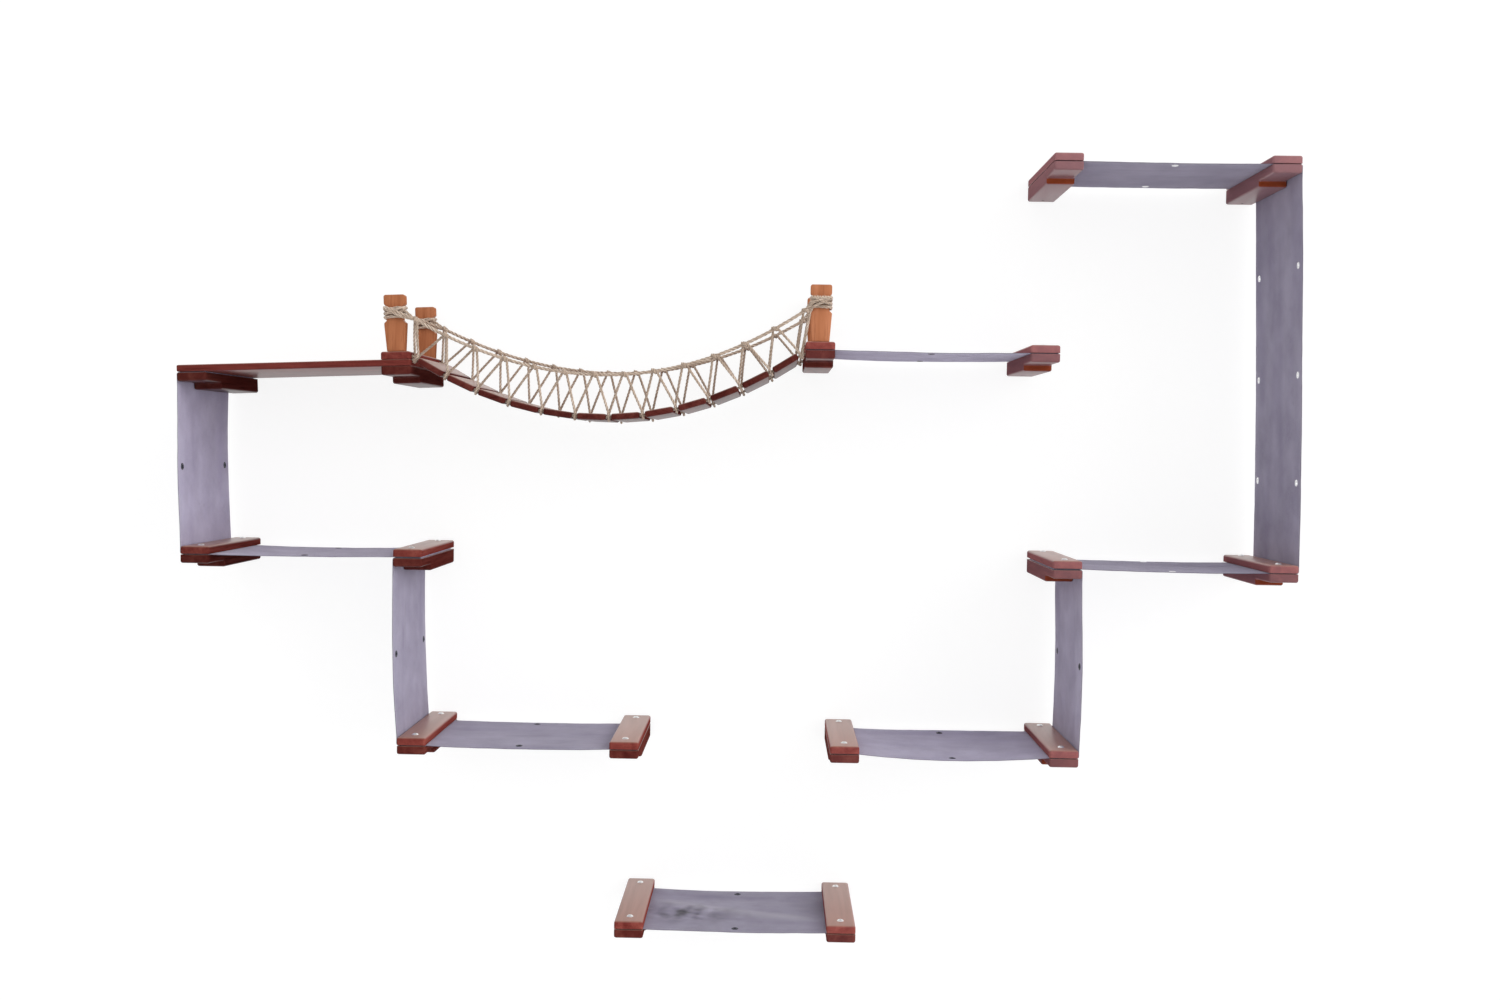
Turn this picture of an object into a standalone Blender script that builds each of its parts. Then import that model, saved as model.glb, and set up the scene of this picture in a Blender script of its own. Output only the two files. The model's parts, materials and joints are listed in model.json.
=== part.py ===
"""Wall-mounted cat tree: hardwood clamp brackets, canvas slings and drops, a shelf and a rope bridge.

Metres, +X right and +Z up. The wall is the plane y = 0 and the tree stands out from it towards -Y.
The origin is the middle of the wall face of the bridge's left arm.
Every piece is placed from the bracket that carries it, so a changed size moves what follows it.
"""

import math

import bmesh
import bpy
from mathutils import Matrix, Vector

MM = 0.001

# Bracket: an arm that is thin at its tip and deeper towards the wall, and a cap bolted on top
ARM_WIDTH = 55.0 * MM
ARM_REACH = 279.0 * MM
ARM_TIP_THICK = 16.0 * MM
ARM_ROOT_THICK = 28.5 * MM
ARM_ROOT_REACH = 199.0 * MM
CAP_THICK = 14.5 * MM
EDGE_ROUND = 3.0 * MM
ROUND_STEPS = 2
SEAT_GAP = 0.3 * MM
OVERRUN = 2.0 * MM

# Set screw under each arm, which locks it on its wall rod
SET_SCREW_RADIUS = 2.6 * MM
SET_SCREW_DEPTH = 8.0 * MM
SET_SCREW_REACH = 20.0 * MM
SET_SCREW_SIDES = 8

# Clamp bolts: round heads on the cap, further in where the posts stand
BOLT_HEAD_RADIUS = 6.0 * MM
BOLT_HEAD_RISE = 2.4 * MM
BOLT_TIP_INSET = 32.0 * MM
BOLT_WALL_INSET = 30.0 * MM
BOLT_POST_INSET = 47.0 * MM
BOLT_SIDES = 12

# Canvas
CANVAS_THICK = 1.2 * MM
CANVAS_WIDTH = 254.0 * MM
CANVAS_TIP_INSET = 5.0 * MM
TONGUE_INSET = 3.0 * MM
SLING_SAG = 3.0 * MM
TREAD_SAG = 2.0 * MM
WIDE_STEP_SAG = 9.0 * MM
DROP_BULGE = 3.0 * MM
SPAN_STEPS = 8
EYELET_RADIUS = 3.0 * MM
EYELET_INSET = 20.0 * MM
EYELET_PITCH = 203.0 * MM
EYELET_SIDES = 8

# Shelf board, which is a cap at the bridge and lies on canvas at its far end
BOARD_THICK = 13.0 * MM

# Layout along the wall, from the bridge's left bracket. The shelf climbs towards the bridge.
SHELF_PITCH = 385.0 * MM
SHELF_RISE = 16.0 * MM
BRIDGE_PITCH = 793.0 * MM
END_SLING_PITCH = 418.0 * MM
SLING_PITCH = 402.0 * MM
WIDE_STEP_PITCH = 411.0 * MM
LEFT_TREAD_SHIFT = 7.5 * MM
LEFT_STEP_SHIFT = 10.0 * MM
RIGHT_GROUP_REACH = 1246.0 * MM
RIGHT_TREAD_SHIFT = 15.5 * MM
RIGHT_STEP_SHIFT = 2.0 * MM
LOW_SLING_REACH = 450.0 * MM

# Heights of the clamp planes, from the one at the bridge's left end
BRIDGE_RISE = 42.5 * MM
TREAD_DROP = 360.0 * MM
STEP_DROP = 355.0 * MM
TALL_DROP = 758.0 * MM
LOW_DROP = 341.5 * MM

# Carved posts: a head, a neck for the rope, and a body that narrows towards its foot
POST_HEIGHT = 106.0 * MM
POST_THICK = 18.0 * MM
POST_HEAD_WIDTH = 40.0 * MM
POST_HEAD_LOW = 88.5 * MM
POST_NECK_HIGH = 83.5 * MM
POST_NECK_LOW = 58.0 * MM
POST_NECK_WIDTH = 30.0 * MM
POST_BODY_WIDTH = 41.0 * MM
POST_BODY_HIGH = 52.5 * MM
POST_FOOT_WIDTH = 33.0 * MM
POST_TOP_ROUND = 4.0 * MM
POST_EDGE_ROUND = 1.5 * MM
POST_TIP_INSET = 15.0 * MM
POST_DECK_INSET = 4.0 * MM

# Bridge deck
PLANK_WIDTH = 53.0 * MM
PLANK_GAP = 10.5 * MM
PLANK_LENGTH = 254.0 * MM
PLANK_THICK = 12.5 * MM
PLANK_ROUND = 3.2 * MM
PLANK_TIP_INSET = 5.0 * MM
DECK_SLACK_SHARE = 1.0628
DECK_LEFT_GAP = 8.9 * MM
DECK_LEFT_DROP = 5.5 * MM
DECK_RIGHT_GAP = 10.0 * MM
DECK_RIGHT_DROP = 1.8 * MM
ROPE_BORE_RADIUS = 3.9 * MM
ROPE_BORE_SIDES = 8
ROPE_INSET = 14.0 * MM
TIE_DEPTH = 14.0 * MM
TIE_END_GAP = 1.0 * MM
TIE_SEAM_INSET = 6.0 * MM

# Ropes: handrails wound round the necks, deck ropes and lacing
ROPE_RADIUS = 3.0 * MM
LACE_RADIUS = 2.4 * MM
ROPE_CLEAR = 0.9 * MM
WIND_TURNS = 3
WIND_SEAT = 0.3 * MM
WIND_GAP = 0.6 * MM
CORNER_STEPS = 3
RAIL_LEFT_HEIGHT = 74.0 * MM
RAIL_RIGHT_HEIGHT = 68.0 * MM
RAIL_SAG_FRONT = 124.5 * MM
RAIL_SAG_BACK = 109.5 * MM
RAIL_LEAN_SHARE = 0.05
RAIL_LEFT_INSET = 18.0 * MM
RAIL_RIGHT_INSET = 9.0 * MM
LACE_LIFT = 2.3 * MM
LACE_TIE_PITCH = 5.2 * MM
HOOK_STEPS = 3

EDGE_ANGLE = math.radians(30)
FLAT_ANGLE = math.radians(1)
SHELF_TILT = math.asin(SHELF_RISE / SHELF_PITCH)
SIDE_OUTLINE = Matrix(((0, 0, 1, 0), (1, 0, 0, 0), (0, 1, 0, 0), (0, 0, 0, 1)))
FRONT_OUTLINE = Matrix.Rotation(math.radians(90), 4, "X")

LAYER = CANVAS_THICK + SEAT_GAP
HALF_WIDTH = ARM_WIDTH / 2


class Bracket:
    """One arm and its cap. Its wall rod is the arm's middle, and all its pieces turn about that rod."""

    def __init__(self, name, rod_x, rod_z, layers=1, board=False, cap=True, posts=False, tilt=0.0):
        self.name = name
        self.rod_x = rod_x
        self.rod_z = rod_z
        self.tilt = tilt
        self.board = board
        self.cap = cap
        self.posts = posts
        self.cap_low = SEAT_GAP + layers * LAYER
        if board:
            self.cap_low = SEAT_GAP + BOARD_THICK + SEAT_GAP
        self.cap_high = self.cap_low + CAP_THICK

    def point(self, across, up):
        """A place in the wall's plane: across from the arm's middle and up from its clamp plane."""
        reach = up + ARM_ROOT_THICK / 2
        x = self.rod_x + across * math.cos(self.tilt) - reach * math.sin(self.tilt)
        return x, self.rod_z + across * math.sin(self.tilt) + reach * math.cos(self.tilt)

    def stand(self, obj, up, out=0.0):
        """Puts an object at a height on the bracket, turned as the bracket is."""
        x, z = self.point(0, up)
        obj.location = (x, out, z)
        obj.rotation_euler = (0, -self.tilt, 0)

    def on_post(self, point, out):
        """A place given from the foot of the post that stands this far out."""
        x, z = self.point(point.x, self.cap_high + SEAT_GAP + point.z)
        return Vector((x, out + point.y, z))


def lay_out_brackets():
    tread = -TREAD_DROP
    step = tread - STEP_DROP
    low = step - LOW_DROP
    high = tread + TALL_DROP
    bridge_left = Bracket("bridge_left", 0, 0, board=True, posts=True, tilt=SHELF_TILT)
    far_x, far_z = bridge_left.point(-SHELF_PITCH, -LAYER - ARM_ROOT_THICK / 2)
    left_tread = LEFT_TREAD_SHIFT - SHELF_PITCH
    left_step = left_tread + SLING_PITCH + LEFT_STEP_SHIFT
    high_right = RIGHT_GROUP_REACH + SLING_PITCH
    right_tread = high_right + RIGHT_TREAD_SHIFT
    right_tread_inner = right_tread - SLING_PITCH
    right_step = right_tread_inner + RIGHT_STEP_SHIFT
    brackets = (
        Bracket("shelf_outer", far_x, far_z, cap=False, tilt=SHELF_TILT),
        bridge_left,
        Bracket("bridge_right", BRIDGE_PITCH, BRIDGE_RISE, posts=True),
        Bracket("end_sling", BRIDGE_PITCH + END_SLING_PITCH, BRIDGE_RISE),
        Bracket("left_tread_outer", left_tread, tread),
        Bracket("left_tread_inner", left_tread + SLING_PITCH, tread, layers=2),
        Bracket("left_step_outer", left_step, step),
        Bracket("left_step_inner", left_step + SLING_PITCH, step),
        Bracket("high_left", RIGHT_GROUP_REACH, high),
        Bracket("high_right", high_right, high),
        Bracket("right_tread_outer", right_tread, tread),
        Bracket("right_tread_inner", right_tread_inner, tread, layers=2),
        Bracket("right_step_outer", right_step, step),
        Bracket("right_step_inner", right_step - WIDE_STEP_PITCH, step),
        Bracket("low_left", LOW_SLING_REACH, low),
        Bracket("low_right", LOW_SLING_REACH + SLING_PITCH, low),
    )
    return {bracket.name: bracket for bracket in brackets}


def clear_scene():
    for obj in list(bpy.data.objects):
        bpy.data.objects.remove(obj, do_unlink=True)


def new_collection(name):
    collection = bpy.data.collections.new(name)
    bpy.context.scene.collection.children.link(collection)
    return collection


def new_material(name, color, roughness, metallic=0.0):
    material = bpy.data.materials.new(name)
    material.use_nodes = True
    shader = material.node_tree.nodes["Principled BSDF"]
    shader.inputs["Base Color"].default_value = (*color, 1.0)
    shader.inputs["Roughness"].default_value = roughness
    shader.inputs["Metallic"].default_value = metallic
    return material


def new_object(name, data, collection, material=None):
    obj = bpy.data.objects.new(name, data)
    collection.objects.link(obj)
    if material is not None and not data.materials:
        data.materials.append(material)
    return obj


def new_cutter(name, mesh, cutters):
    obj = new_object(name, mesh, cutters)
    obj.hide_render = True
    obj.display_type = "WIRE"
    return obj


def box_mesh(name, size):
    shape = bmesh.new()
    bmesh.ops.create_cube(shape, size=1)
    bmesh.ops.scale(shape, vec=size, verts=shape.verts)
    mesh = bpy.data.meshes.new(name)
    shape.to_mesh(mesh)
    shape.free()
    return mesh


def rod_mesh(name, radius, length, sides, turn, middle):
    """A closed cylinder of this length, turned by a rotation and centred on a point."""
    shape = bmesh.new()
    bmesh.ops.create_cone(
        shape,
        cap_ends=True,
        segments=sides,
        radius1=radius,
        radius2=radius,
        depth=length,
        matrix=Matrix.Translation(middle) @ turn,
    )
    mesh = bpy.data.meshes.new(name)
    shape.to_mesh(mesh)
    shape.free()
    return mesh


def evaluated_mesh(obj):
    bpy.context.view_layer.update()
    graph = bpy.context.evaluated_depsgraph_get()
    return bpy.data.meshes.new_from_object(obj.evaluated_get(graph))


def outline_curve(name, points, closed):
    curve = bpy.data.curves.new(name, "CURVE")
    curve.dimensions = "2D"
    spline = curve.splines.new("POLY")
    spline.points.add(len(points) - 1)
    for point, (across, up) in zip(spline.points, points):
        point.co = (across, up, 0, 1)
    spline.use_cyclic_u = closed
    return curve


def extruded_mesh(name, points, depth, placement, closed=True):
    """The outline pushed out to a depth: a solid prism when closed, and otherwise an open ribbon."""
    curve = outline_curve(name, points, closed)
    curve.fill_mode = "BOTH" if closed else "NONE"
    curve.extrude = depth / 2
    obj = bpy.data.objects.new(name, curve)
    bpy.context.scene.collection.objects.link(obj)
    mesh = evaluated_mesh(obj)
    bpy.data.objects.remove(obj, do_unlink=True)
    shape = bmesh.new()
    shape.from_mesh(mesh)
    bmesh.ops.remove_doubles(shape, verts=shape.verts, dist=SEAT_GAP / 10)
    if closed:
        bmesh.ops.dissolve_limit(shape, angle_limit=FLAT_ANGLE, verts=shape.verts, edges=shape.edges)
        bmesh.ops.recalc_face_normals(shape, faces=shape.faces)
    shape.to_mesh(mesh)
    shape.free()
    mesh.transform(placement)
    return mesh


def round_edges(obj, width, steps=ROUND_STEPS):
    modifier = obj.modifiers.new("round_edges", "BEVEL")
    modifier.width = width
    modifier.segments = steps
    modifier.limit_method = "ANGLE"
    modifier.angle_limit = EDGE_ANGLE


def combine(obj, other, operation):
    modifier = obj.modifiers.new(other.name, "BOOLEAN")
    modifier.operation = operation
    modifier.object = other
    modifier.solver = "EXACT"


def finished_mesh(obj):
    """The object's mesh with its modifiers applied, shaded smooth on its round edges."""
    mesh = evaluated_mesh(obj)
    bpy.data.objects.remove(obj, do_unlink=True)
    mesh.shade_smooth()
    mesh.set_sharp_from_angle(angle=EDGE_ANGLE)
    return mesh


def rope_tie(bracket, inward=0.0):
    """Where the deck ropes enter a bracket's side, or a place further in: in the left cap or right arm."""
    if bracket.board:
        x, z = bracket.point(HALF_WIDTH - inward, bracket.cap_low + TIE_SEAM_INSET)
    else:
        x, z = bracket.point(inward - HALF_WIDTH, -TIE_SEAM_INSET)
    return Vector((x, 0, z))


def rope_lines():
    """How far out the front and the back deck rope run."""
    plank_tip = PLANK_TIP_INSET - ARM_REACH
    return plank_tip + ROPE_INSET, plank_tip + PLANK_LENGTH - ROPE_INSET


def post_lines():
    """How far out the front and the back posts stand."""
    plank_tip = PLANK_TIP_INSET - ARM_REACH
    return POST_TIP_INSET - ARM_REACH, plank_tip + PLANK_LENGTH - POST_DECK_INSET


def tie_holes(name, way, height, cutters):
    """Cutters for the two blind holes in a bracket's side that take the ends of the deck ropes."""
    length = TIE_DEPTH + OVERRUN
    turn = Matrix.Rotation(math.radians(90), 4, "Y")
    across = way * (HALF_WIDTH + OVERRUN - length / 2)
    holes = []
    for index, out in enumerate(rope_lines()):
        middle = Vector((across, out, height))
        mesh = rod_mesh(f"{name}_{index}", ROPE_BORE_RADIUS, length, ROPE_BORE_SIDES, turn, middle)
        holes.append(new_cutter(mesh.name, mesh, cutters))
    return holes


def arm_mesh(name, cutters, tied=False):
    """Arm with its clamp plane at height zero, its wall face at y = 0 and its set screw hole below."""
    outline = (
        (-ARM_REACH, 0),
        (-ARM_REACH, -ARM_TIP_THICK),
        (-ARM_ROOT_REACH, -ARM_TIP_THICK),
        (-ARM_ROOT_REACH, -ARM_ROOT_THICK),
        (0, -ARM_ROOT_THICK),
        (0, 0),
    )
    blank = new_object(name, extruded_mesh(name, outline, ARM_WIDTH, SIDE_OUTLINE), cutters)
    round_edges(blank, EDGE_ROUND)
    length = SET_SCREW_DEPTH + OVERRUN
    middle = Vector((0, -SET_SCREW_REACH, length / 2 - ARM_ROOT_THICK - OVERRUN))
    hole = rod_mesh(f"{name}_screw_hole", SET_SCREW_RADIUS, length, SET_SCREW_SIDES, Matrix(), middle)
    combine(blank, new_cutter(hole.name, hole, cutters), "DIFFERENCE")
    if tied:
        for cutter in tie_holes(f"{name}_rope_hole", -1, -TIE_SEAM_INSET, cutters):
            combine(blank, cutter, "DIFFERENCE")
    return finished_mesh(blank)


def cap_mesh(name, cutters, tip_inset, wall_inset, tied=False):
    """Cap with its underside at height zero, with its two bolt heads on top."""
    mesh = box_mesh(name, (ARM_WIDTH, ARM_REACH, CAP_THICK))
    mesh.transform(Matrix.Translation((0, -ARM_REACH / 2, CAP_THICK / 2)))
    blank = new_object(name, mesh, cutters)
    round_edges(blank, EDGE_ROUND)
    length = BOLT_HEAD_RISE + OVERRUN
    for index, out in enumerate((tip_inset - ARM_REACH, -wall_inset)):
        middle = Vector((0, out, CAP_THICK + BOLT_HEAD_RISE - length / 2))
        head = rod_mesh(f"{name}_bolt_{index}", BOLT_HEAD_RADIUS, length, BOLT_SIDES, Matrix(), middle)
        combine(blank, new_cutter(head.name, head, cutters), "UNION")
    if tied:
        for cutter in tie_holes(f"{name}_rope_hole", 1, TIE_SEAM_INSET, cutters):
            combine(blank, cutter, "DIFFERENCE")
    return finished_mesh(blank)


def make_brackets(brackets, wood, parts, cutters):
    plain_arm = arm_mesh("arm", cutters)
    tied_arm = arm_mesh("tied_arm", cutters, tied=True)
    plain_cap = cap_mesh("cap", cutters, BOLT_TIP_INSET, BOLT_WALL_INSET)
    post_cap = cap_mesh("post_cap", cutters, BOLT_POST_INSET, BOLT_POST_INSET)
    tied_cap = cap_mesh("tied_cap", cutters, BOLT_POST_INSET, BOLT_POST_INSET, tied=True)
    arms = {"bridge_right": tied_arm}
    caps = {"bridge_right": post_cap, "bridge_left": tied_cap}
    for name, bracket in brackets.items():
        arm = new_object(f"arm_{name}", arms.get(name, plain_arm), parts, wood)
        bracket.stand(arm, 0)
        if bracket.cap:
            cap = new_object(f"cap_{name}", caps.get(name, plain_cap), parts, wood)
            bracket.stand(cap, bracket.cap_low)


def make_board(brackets, wood, parts):
    """Shelf board from under the bridge's left cap out over its far arm."""
    mesh = box_mesh("shelf_board", (SHELF_PITCH + ARM_WIDTH, ARM_REACH, BOARD_THICK))
    mesh.transform(Matrix.Translation((-SHELF_PITCH / 2, -ARM_REACH / 2, BOARD_THICK / 2)))
    mesh.shade_smooth()
    mesh.set_sharp_from_angle(angle=EDGE_ANGLE)
    board = new_object("shelf_board", mesh, parts, wood)
    round_edges(board, EDGE_ROUND)
    brackets["bridge_left"].stand(board, SEAT_GAP)


def turn_points(bracket, way, up, start, end):
    """A quarter turn of the canvas round a bracket's edge on one side. The round's centre is this far up."""
    radius = EDGE_ROUND + SEAT_GAP + CANVAS_THICK / 2
    center = HALF_WIDTH - EDGE_ROUND
    points = []
    for step in range(ROUND_STEPS + 1):
        angle = math.radians(start + (end - start) * step / ROUND_STEPS)
        across = way * (center + radius * math.cos(angle))
        points.append(bracket.point(across, up + radius * math.sin(angle)))
    return points


def across_points(start, end, sag):
    """A sling's free stretch between two clamps, ends left out."""
    points = []
    for step in range(1, SPAN_STEPS):
        share = step / SPAN_STEPS
        x = start[0] + (end[0] - start[0]) * share
        z = start[1] + (end[1] - start[1]) * share - 4 * sag * share * (1 - share)
        points.append((x, z))
    return points


def drop_points(upper, lower, way):
    """Canvas from the upper clamp over the arm's edge, down, and in under the lower cap."""
    hang = HALF_WIDTH + SEAT_GAP + CANVAS_THICK / 2
    points = turn_points(upper, way, -EDGE_ROUND, 90, 0)
    start = upper.point(way * hang, -ARM_ROOT_THICK)
    end = lower.point(way * hang, lower.cap_high)
    for step in range(SPAN_STEPS + 1):
        share = step / SPAN_STEPS
        bulge = way * DROP_BULGE * math.sin(math.pi * share)
        x = start[0] + (end[0] - start[0]) * share + bulge
        points.append((x, start[1] + (end[1] - start[1]) * share))
    points += turn_points(lower, way, lower.cap_low + EDGE_ROUND, 0, -90)
    return points


def clamp_edge(bracket, way, layer=0, inward=0.0):
    """Where a canvas leaves a clamp on one side, or a place that is further in."""
    up = SEAT_GAP + CANVAS_THICK / 2 + layer * LAYER
    return bracket.point(way * (HALF_WIDTH - inward), up)


def clamp_end(bracket, way, layer=0):
    """End of a canvas inside a clamp, just short of the face that way points to."""
    return clamp_edge(bracket, way, layer, TONGUE_INSET)


def sling(start, end, sag):
    return [start, *across_points(start, end, sag), end]


def eyelet_pairs(middle, vertical, cutters, name):
    """Cutters for a front and a back eyelet at one place along a canvas."""
    tip = CANVAS_TIP_INSET - ARM_REACH
    turn = Matrix.Rotation(math.radians(90 if vertical else 0), 4, "Y")
    depth = 2 * EDGE_ROUND + 2 * WIDE_STEP_SAG
    made = []
    for index, out in enumerate((tip + EYELET_INSET, tip + CANVAS_WIDTH - EYELET_INSET)):
        place = Vector((middle[0], out, middle[1]))
        mesh = rod_mesh(f"{name}_{index}", EYELET_RADIUS, depth, EYELET_SIDES, turn, place)
        made.append(new_cutter(mesh.name, mesh, cutters))
    return made


def middle_of(first, second):
    return ((first[0] + second[0]) / 2, (first[1] + second[1]) / 2)


def make_canvas(name, points, eyelets, canvas, parts, cutters):
    """One strip of canvas along the points, with an eyelet pair at each place listed."""
    mesh = extruded_mesh(name, points, CANVAS_WIDTH, FRONT_OUTLINE, closed=False)
    mesh.transform(Matrix.Translation((0, CANVAS_TIP_INSET - ARM_REACH + CANVAS_WIDTH / 2, 0)))
    mesh.shade_smooth()
    strip = new_object(name, mesh, parts, canvas)
    thickness = strip.modifiers.new("thickness", "SOLIDIFY")
    thickness.thickness = CANVAS_THICK
    thickness.offset = 0
    thickness.use_even_offset = True
    for index, (place, vertical) in enumerate(eyelets):
        for cutter in eyelet_pairs(place, vertical, cutters, f"{name}_eyelet_{index}"):
            combine(strip, cutter, "DIFFERENCE")


def across_eyelet(first, second):
    return (middle_of(clamp_edge(first, 1), clamp_edge(second, -1)), False)


def drop_eyelet(upper, lower, way, shift=0.0):
    x, z = middle_of(clamp_edge(upper, way), clamp_edge(lower, way))
    return ((x, z + shift), True)


def make_canvases(b, canvas, parts, cutters):
    """The six strips. A drop and the sling below it are one strip, which passes through the clamp."""
    tread_in = b["right_tread_inner"]
    points = [clamp_end(b["high_left"], -1)]
    points += sling(clamp_edge(b["high_left"], 1), clamp_edge(b["high_right"], -1), SLING_SAG)
    points += drop_points(b["high_right"], b["right_tread_outer"], 1)
    points += sling(clamp_edge(b["right_tread_outer"], -1), clamp_edge(tread_in, 1, 1), TREAD_SAG)
    points += [clamp_end(tread_in, -1, 1)]
    eyelets = [across_eyelet(b["high_left"], b["high_right"])]
    eyelets += [across_eyelet(tread_in, b["right_tread_outer"])]
    for shift in (-EYELET_PITCH, 0, EYELET_PITCH):
        eyelets.append(drop_eyelet(b["high_right"], b["right_tread_outer"], 1, shift))
    make_canvas("canvas_right_long", points, eyelets, canvas, parts, cutters)

    points = [clamp_end(tread_in, -1)]
    points += drop_points(tread_in, b["right_step_outer"], 1)
    points += sling(clamp_edge(b["right_step_outer"], -1), clamp_edge(b["right_step_inner"], 1), WIDE_STEP_SAG)
    points += [clamp_end(b["right_step_inner"], -1)]
    eyelets = [drop_eyelet(tread_in, b["right_step_outer"], 1)]
    eyelets += [across_eyelet(b["right_step_inner"], b["right_step_outer"])]
    make_canvas("canvas_right_step", points, eyelets, canvas, parts, cutters)

    tread_in = b["left_tread_inner"]
    points = [clamp_end(b["shelf_outer"], 1)]
    points += drop_points(b["shelf_outer"], b["left_tread_outer"], -1)
    points += sling(clamp_edge(b["left_tread_outer"], 1), clamp_edge(tread_in, -1, 1), TREAD_SAG)
    points += [clamp_end(tread_in, 1, 1)]
    eyelets = [drop_eyelet(b["shelf_outer"], b["left_tread_outer"], -1)]
    eyelets += [across_eyelet(b["left_tread_outer"], tread_in)]
    make_canvas("canvas_left_long", points, eyelets, canvas, parts, cutters)

    points = [clamp_end(tread_in, 1)]
    points += drop_points(tread_in, b["left_step_outer"], -1)
    points += sling(clamp_edge(b["left_step_outer"], 1), clamp_edge(b["left_step_inner"], -1), TREAD_SAG)
    points += [clamp_end(b["left_step_inner"], 1)]
    eyelets = [drop_eyelet(tread_in, b["left_step_outer"], -1)]
    eyelets += [across_eyelet(b["left_step_outer"], b["left_step_inner"])]
    make_canvas("canvas_left_step", points, eyelets, canvas, parts, cutters)

    for name, first, second, sag in (
        ("canvas_end_sling", b["bridge_right"], b["end_sling"], SLING_SAG),
        ("canvas_low_sling", b["low_left"], b["low_right"], SLING_SAG),
    ):
        points = [clamp_end(first, -1), *sling(clamp_edge(first, 1), clamp_edge(second, -1), sag)]
        points += [clamp_end(second, 1)]
        make_canvas(name, points, [across_eyelet(first, second)], canvas, parts, cutters)


def post_outline():
    """Front view of a post, from its foot up one side and down the other."""
    right = [
        (POST_FOOT_WIDTH / 2, 0),
        (POST_BODY_WIDTH / 2, POST_BODY_HIGH),
        (POST_NECK_WIDTH / 2, POST_NECK_LOW),
        (POST_NECK_WIDTH / 2, POST_NECK_HIGH),
        (POST_HEAD_WIDTH / 2, POST_HEAD_LOW),
    ]
    for step in range(ROUND_STEPS + 2):
        angle = math.radians(90) * step / (ROUND_STEPS + 1)
        across = POST_HEAD_WIDTH / 2 - POST_TOP_ROUND * (1 - math.cos(angle))
        right.append((across, POST_HEIGHT - POST_TOP_ROUND * (1 - math.sin(angle))))
    return right + [(-across, up) for across, up in reversed(right)]


def make_posts(b, wood, parts, cutters):
    blank = new_object("post", extruded_mesh("post", post_outline(), POST_THICK, FRONT_OUTLINE), cutters)
    round_edges(blank, POST_EDGE_ROUND, steps=1)
    mesh = finished_mesh(blank)
    for side in ("bridge_left", "bridge_right"):
        for place, out in zip(("front", "back"), post_lines()):
            post = new_object(f"post_{side}_{place}", mesh, parts, wood)
            b[side].stand(post, b[side].cap_high + SEAT_GAP, out)


def link_slopes(count, bend_share, tilt_share):
    return [math.atan(bend_share * (index - (count - 1) / 2) + tilt_share) for index in range(count)]


def solve(function, low, high, target):
    """Where a function that falls from low to high meets the target, by halving."""
    for _ in range(50):
        middle = (low + high) / 2
        if function(middle) > target:
            low = middle
        else:
            high = middle
    return (low + high) / 2


def hang_chain(run, rise, length, count):
    """Slopes of a chain of equal links that hangs under its own weight between two points."""
    link = length / count

    def tilt_for(bend_share):
        return solve(lambda t: -sum(map(math.sin, link_slopes(count, bend_share, t))), -1, 1, -rise / link)

    def run_for(bend_share):
        return sum(map(math.cos, link_slopes(count, bend_share, tilt_for(bend_share))))

    bend_share = solve(run_for, 0, 1, run / link)
    return link_slopes(count, bend_share, tilt_for(bend_share))


def deck_joints(left, right):
    """Points on the deck ropes where one plank ends and the next starts, and the slope of each plank."""
    start = rope_tie(left) + Vector((DECK_LEFT_GAP, 0, -DECK_LEFT_DROP))
    across = rope_tie(right) - Vector((DECK_RIGHT_GAP, 0, DECK_RIGHT_DROP)) - start
    length = across.length * DECK_SLACK_SHARE
    count = int(length / (PLANK_WIDTH + PLANK_GAP))
    slopes = hang_chain(across.x, across.z, length, count)
    joints = [start]
    for slope in slopes:
        step = Vector((math.cos(slope), 0, math.sin(slope))) * length / count
        joints.append(joints[-1] + step)
    return joints, slopes


def make_planks(joints, slopes, wood, parts, cutters):
    """Planks with a bore near each end for the deck ropes. Each has its origin at its own middle."""
    blank = new_object("plank", box_mesh("plank", (PLANK_WIDTH, PLANK_LENGTH, PLANK_THICK)), cutters)
    round_edges(blank, PLANK_ROUND)
    turn = Matrix.Rotation(math.radians(90), 4, "Y")
    length = PLANK_WIDTH + 2 * OVERRUN
    for index, way in enumerate((-1, 1)):
        middle = Vector((0, way * (PLANK_LENGTH / 2 - ROPE_INSET), 0))
        bore = rod_mesh(f"plank_bore_{index}", ROPE_BORE_RADIUS, length, ROPE_BORE_SIDES, turn, middle)
        combine(blank, new_cutter(bore.name, bore, cutters), "DIFFERENCE")
    mesh = finished_mesh(blank)
    middle_line = PLANK_TIP_INSET - ARM_REACH + PLANK_LENGTH / 2
    for index, slope in enumerate(slopes):
        plank = new_object(f"plank_{index + 1:02d}", mesh, parts, wood)
        place = (joints[index] + joints[index + 1]) / 2
        plank.location = (place.x, middle_line, place.z)
        plank.rotation_euler = (0, -slope, 0)


def make_rope(name, points, radius, material, parts):
    curve = bpy.data.curves.new(name, "CURVE")
    curve.dimensions = "3D"
    curve.bevel_depth = radius
    curve.bevel_resolution = 1
    curve.use_fill_caps = True
    spline = curve.splines.new("POLY")
    spline.points.add(len(points) - 1)
    for point, place in zip(spline.points, points):
        point.co = (*place, 1)
    return new_object(name, curve, parts, material)


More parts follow.
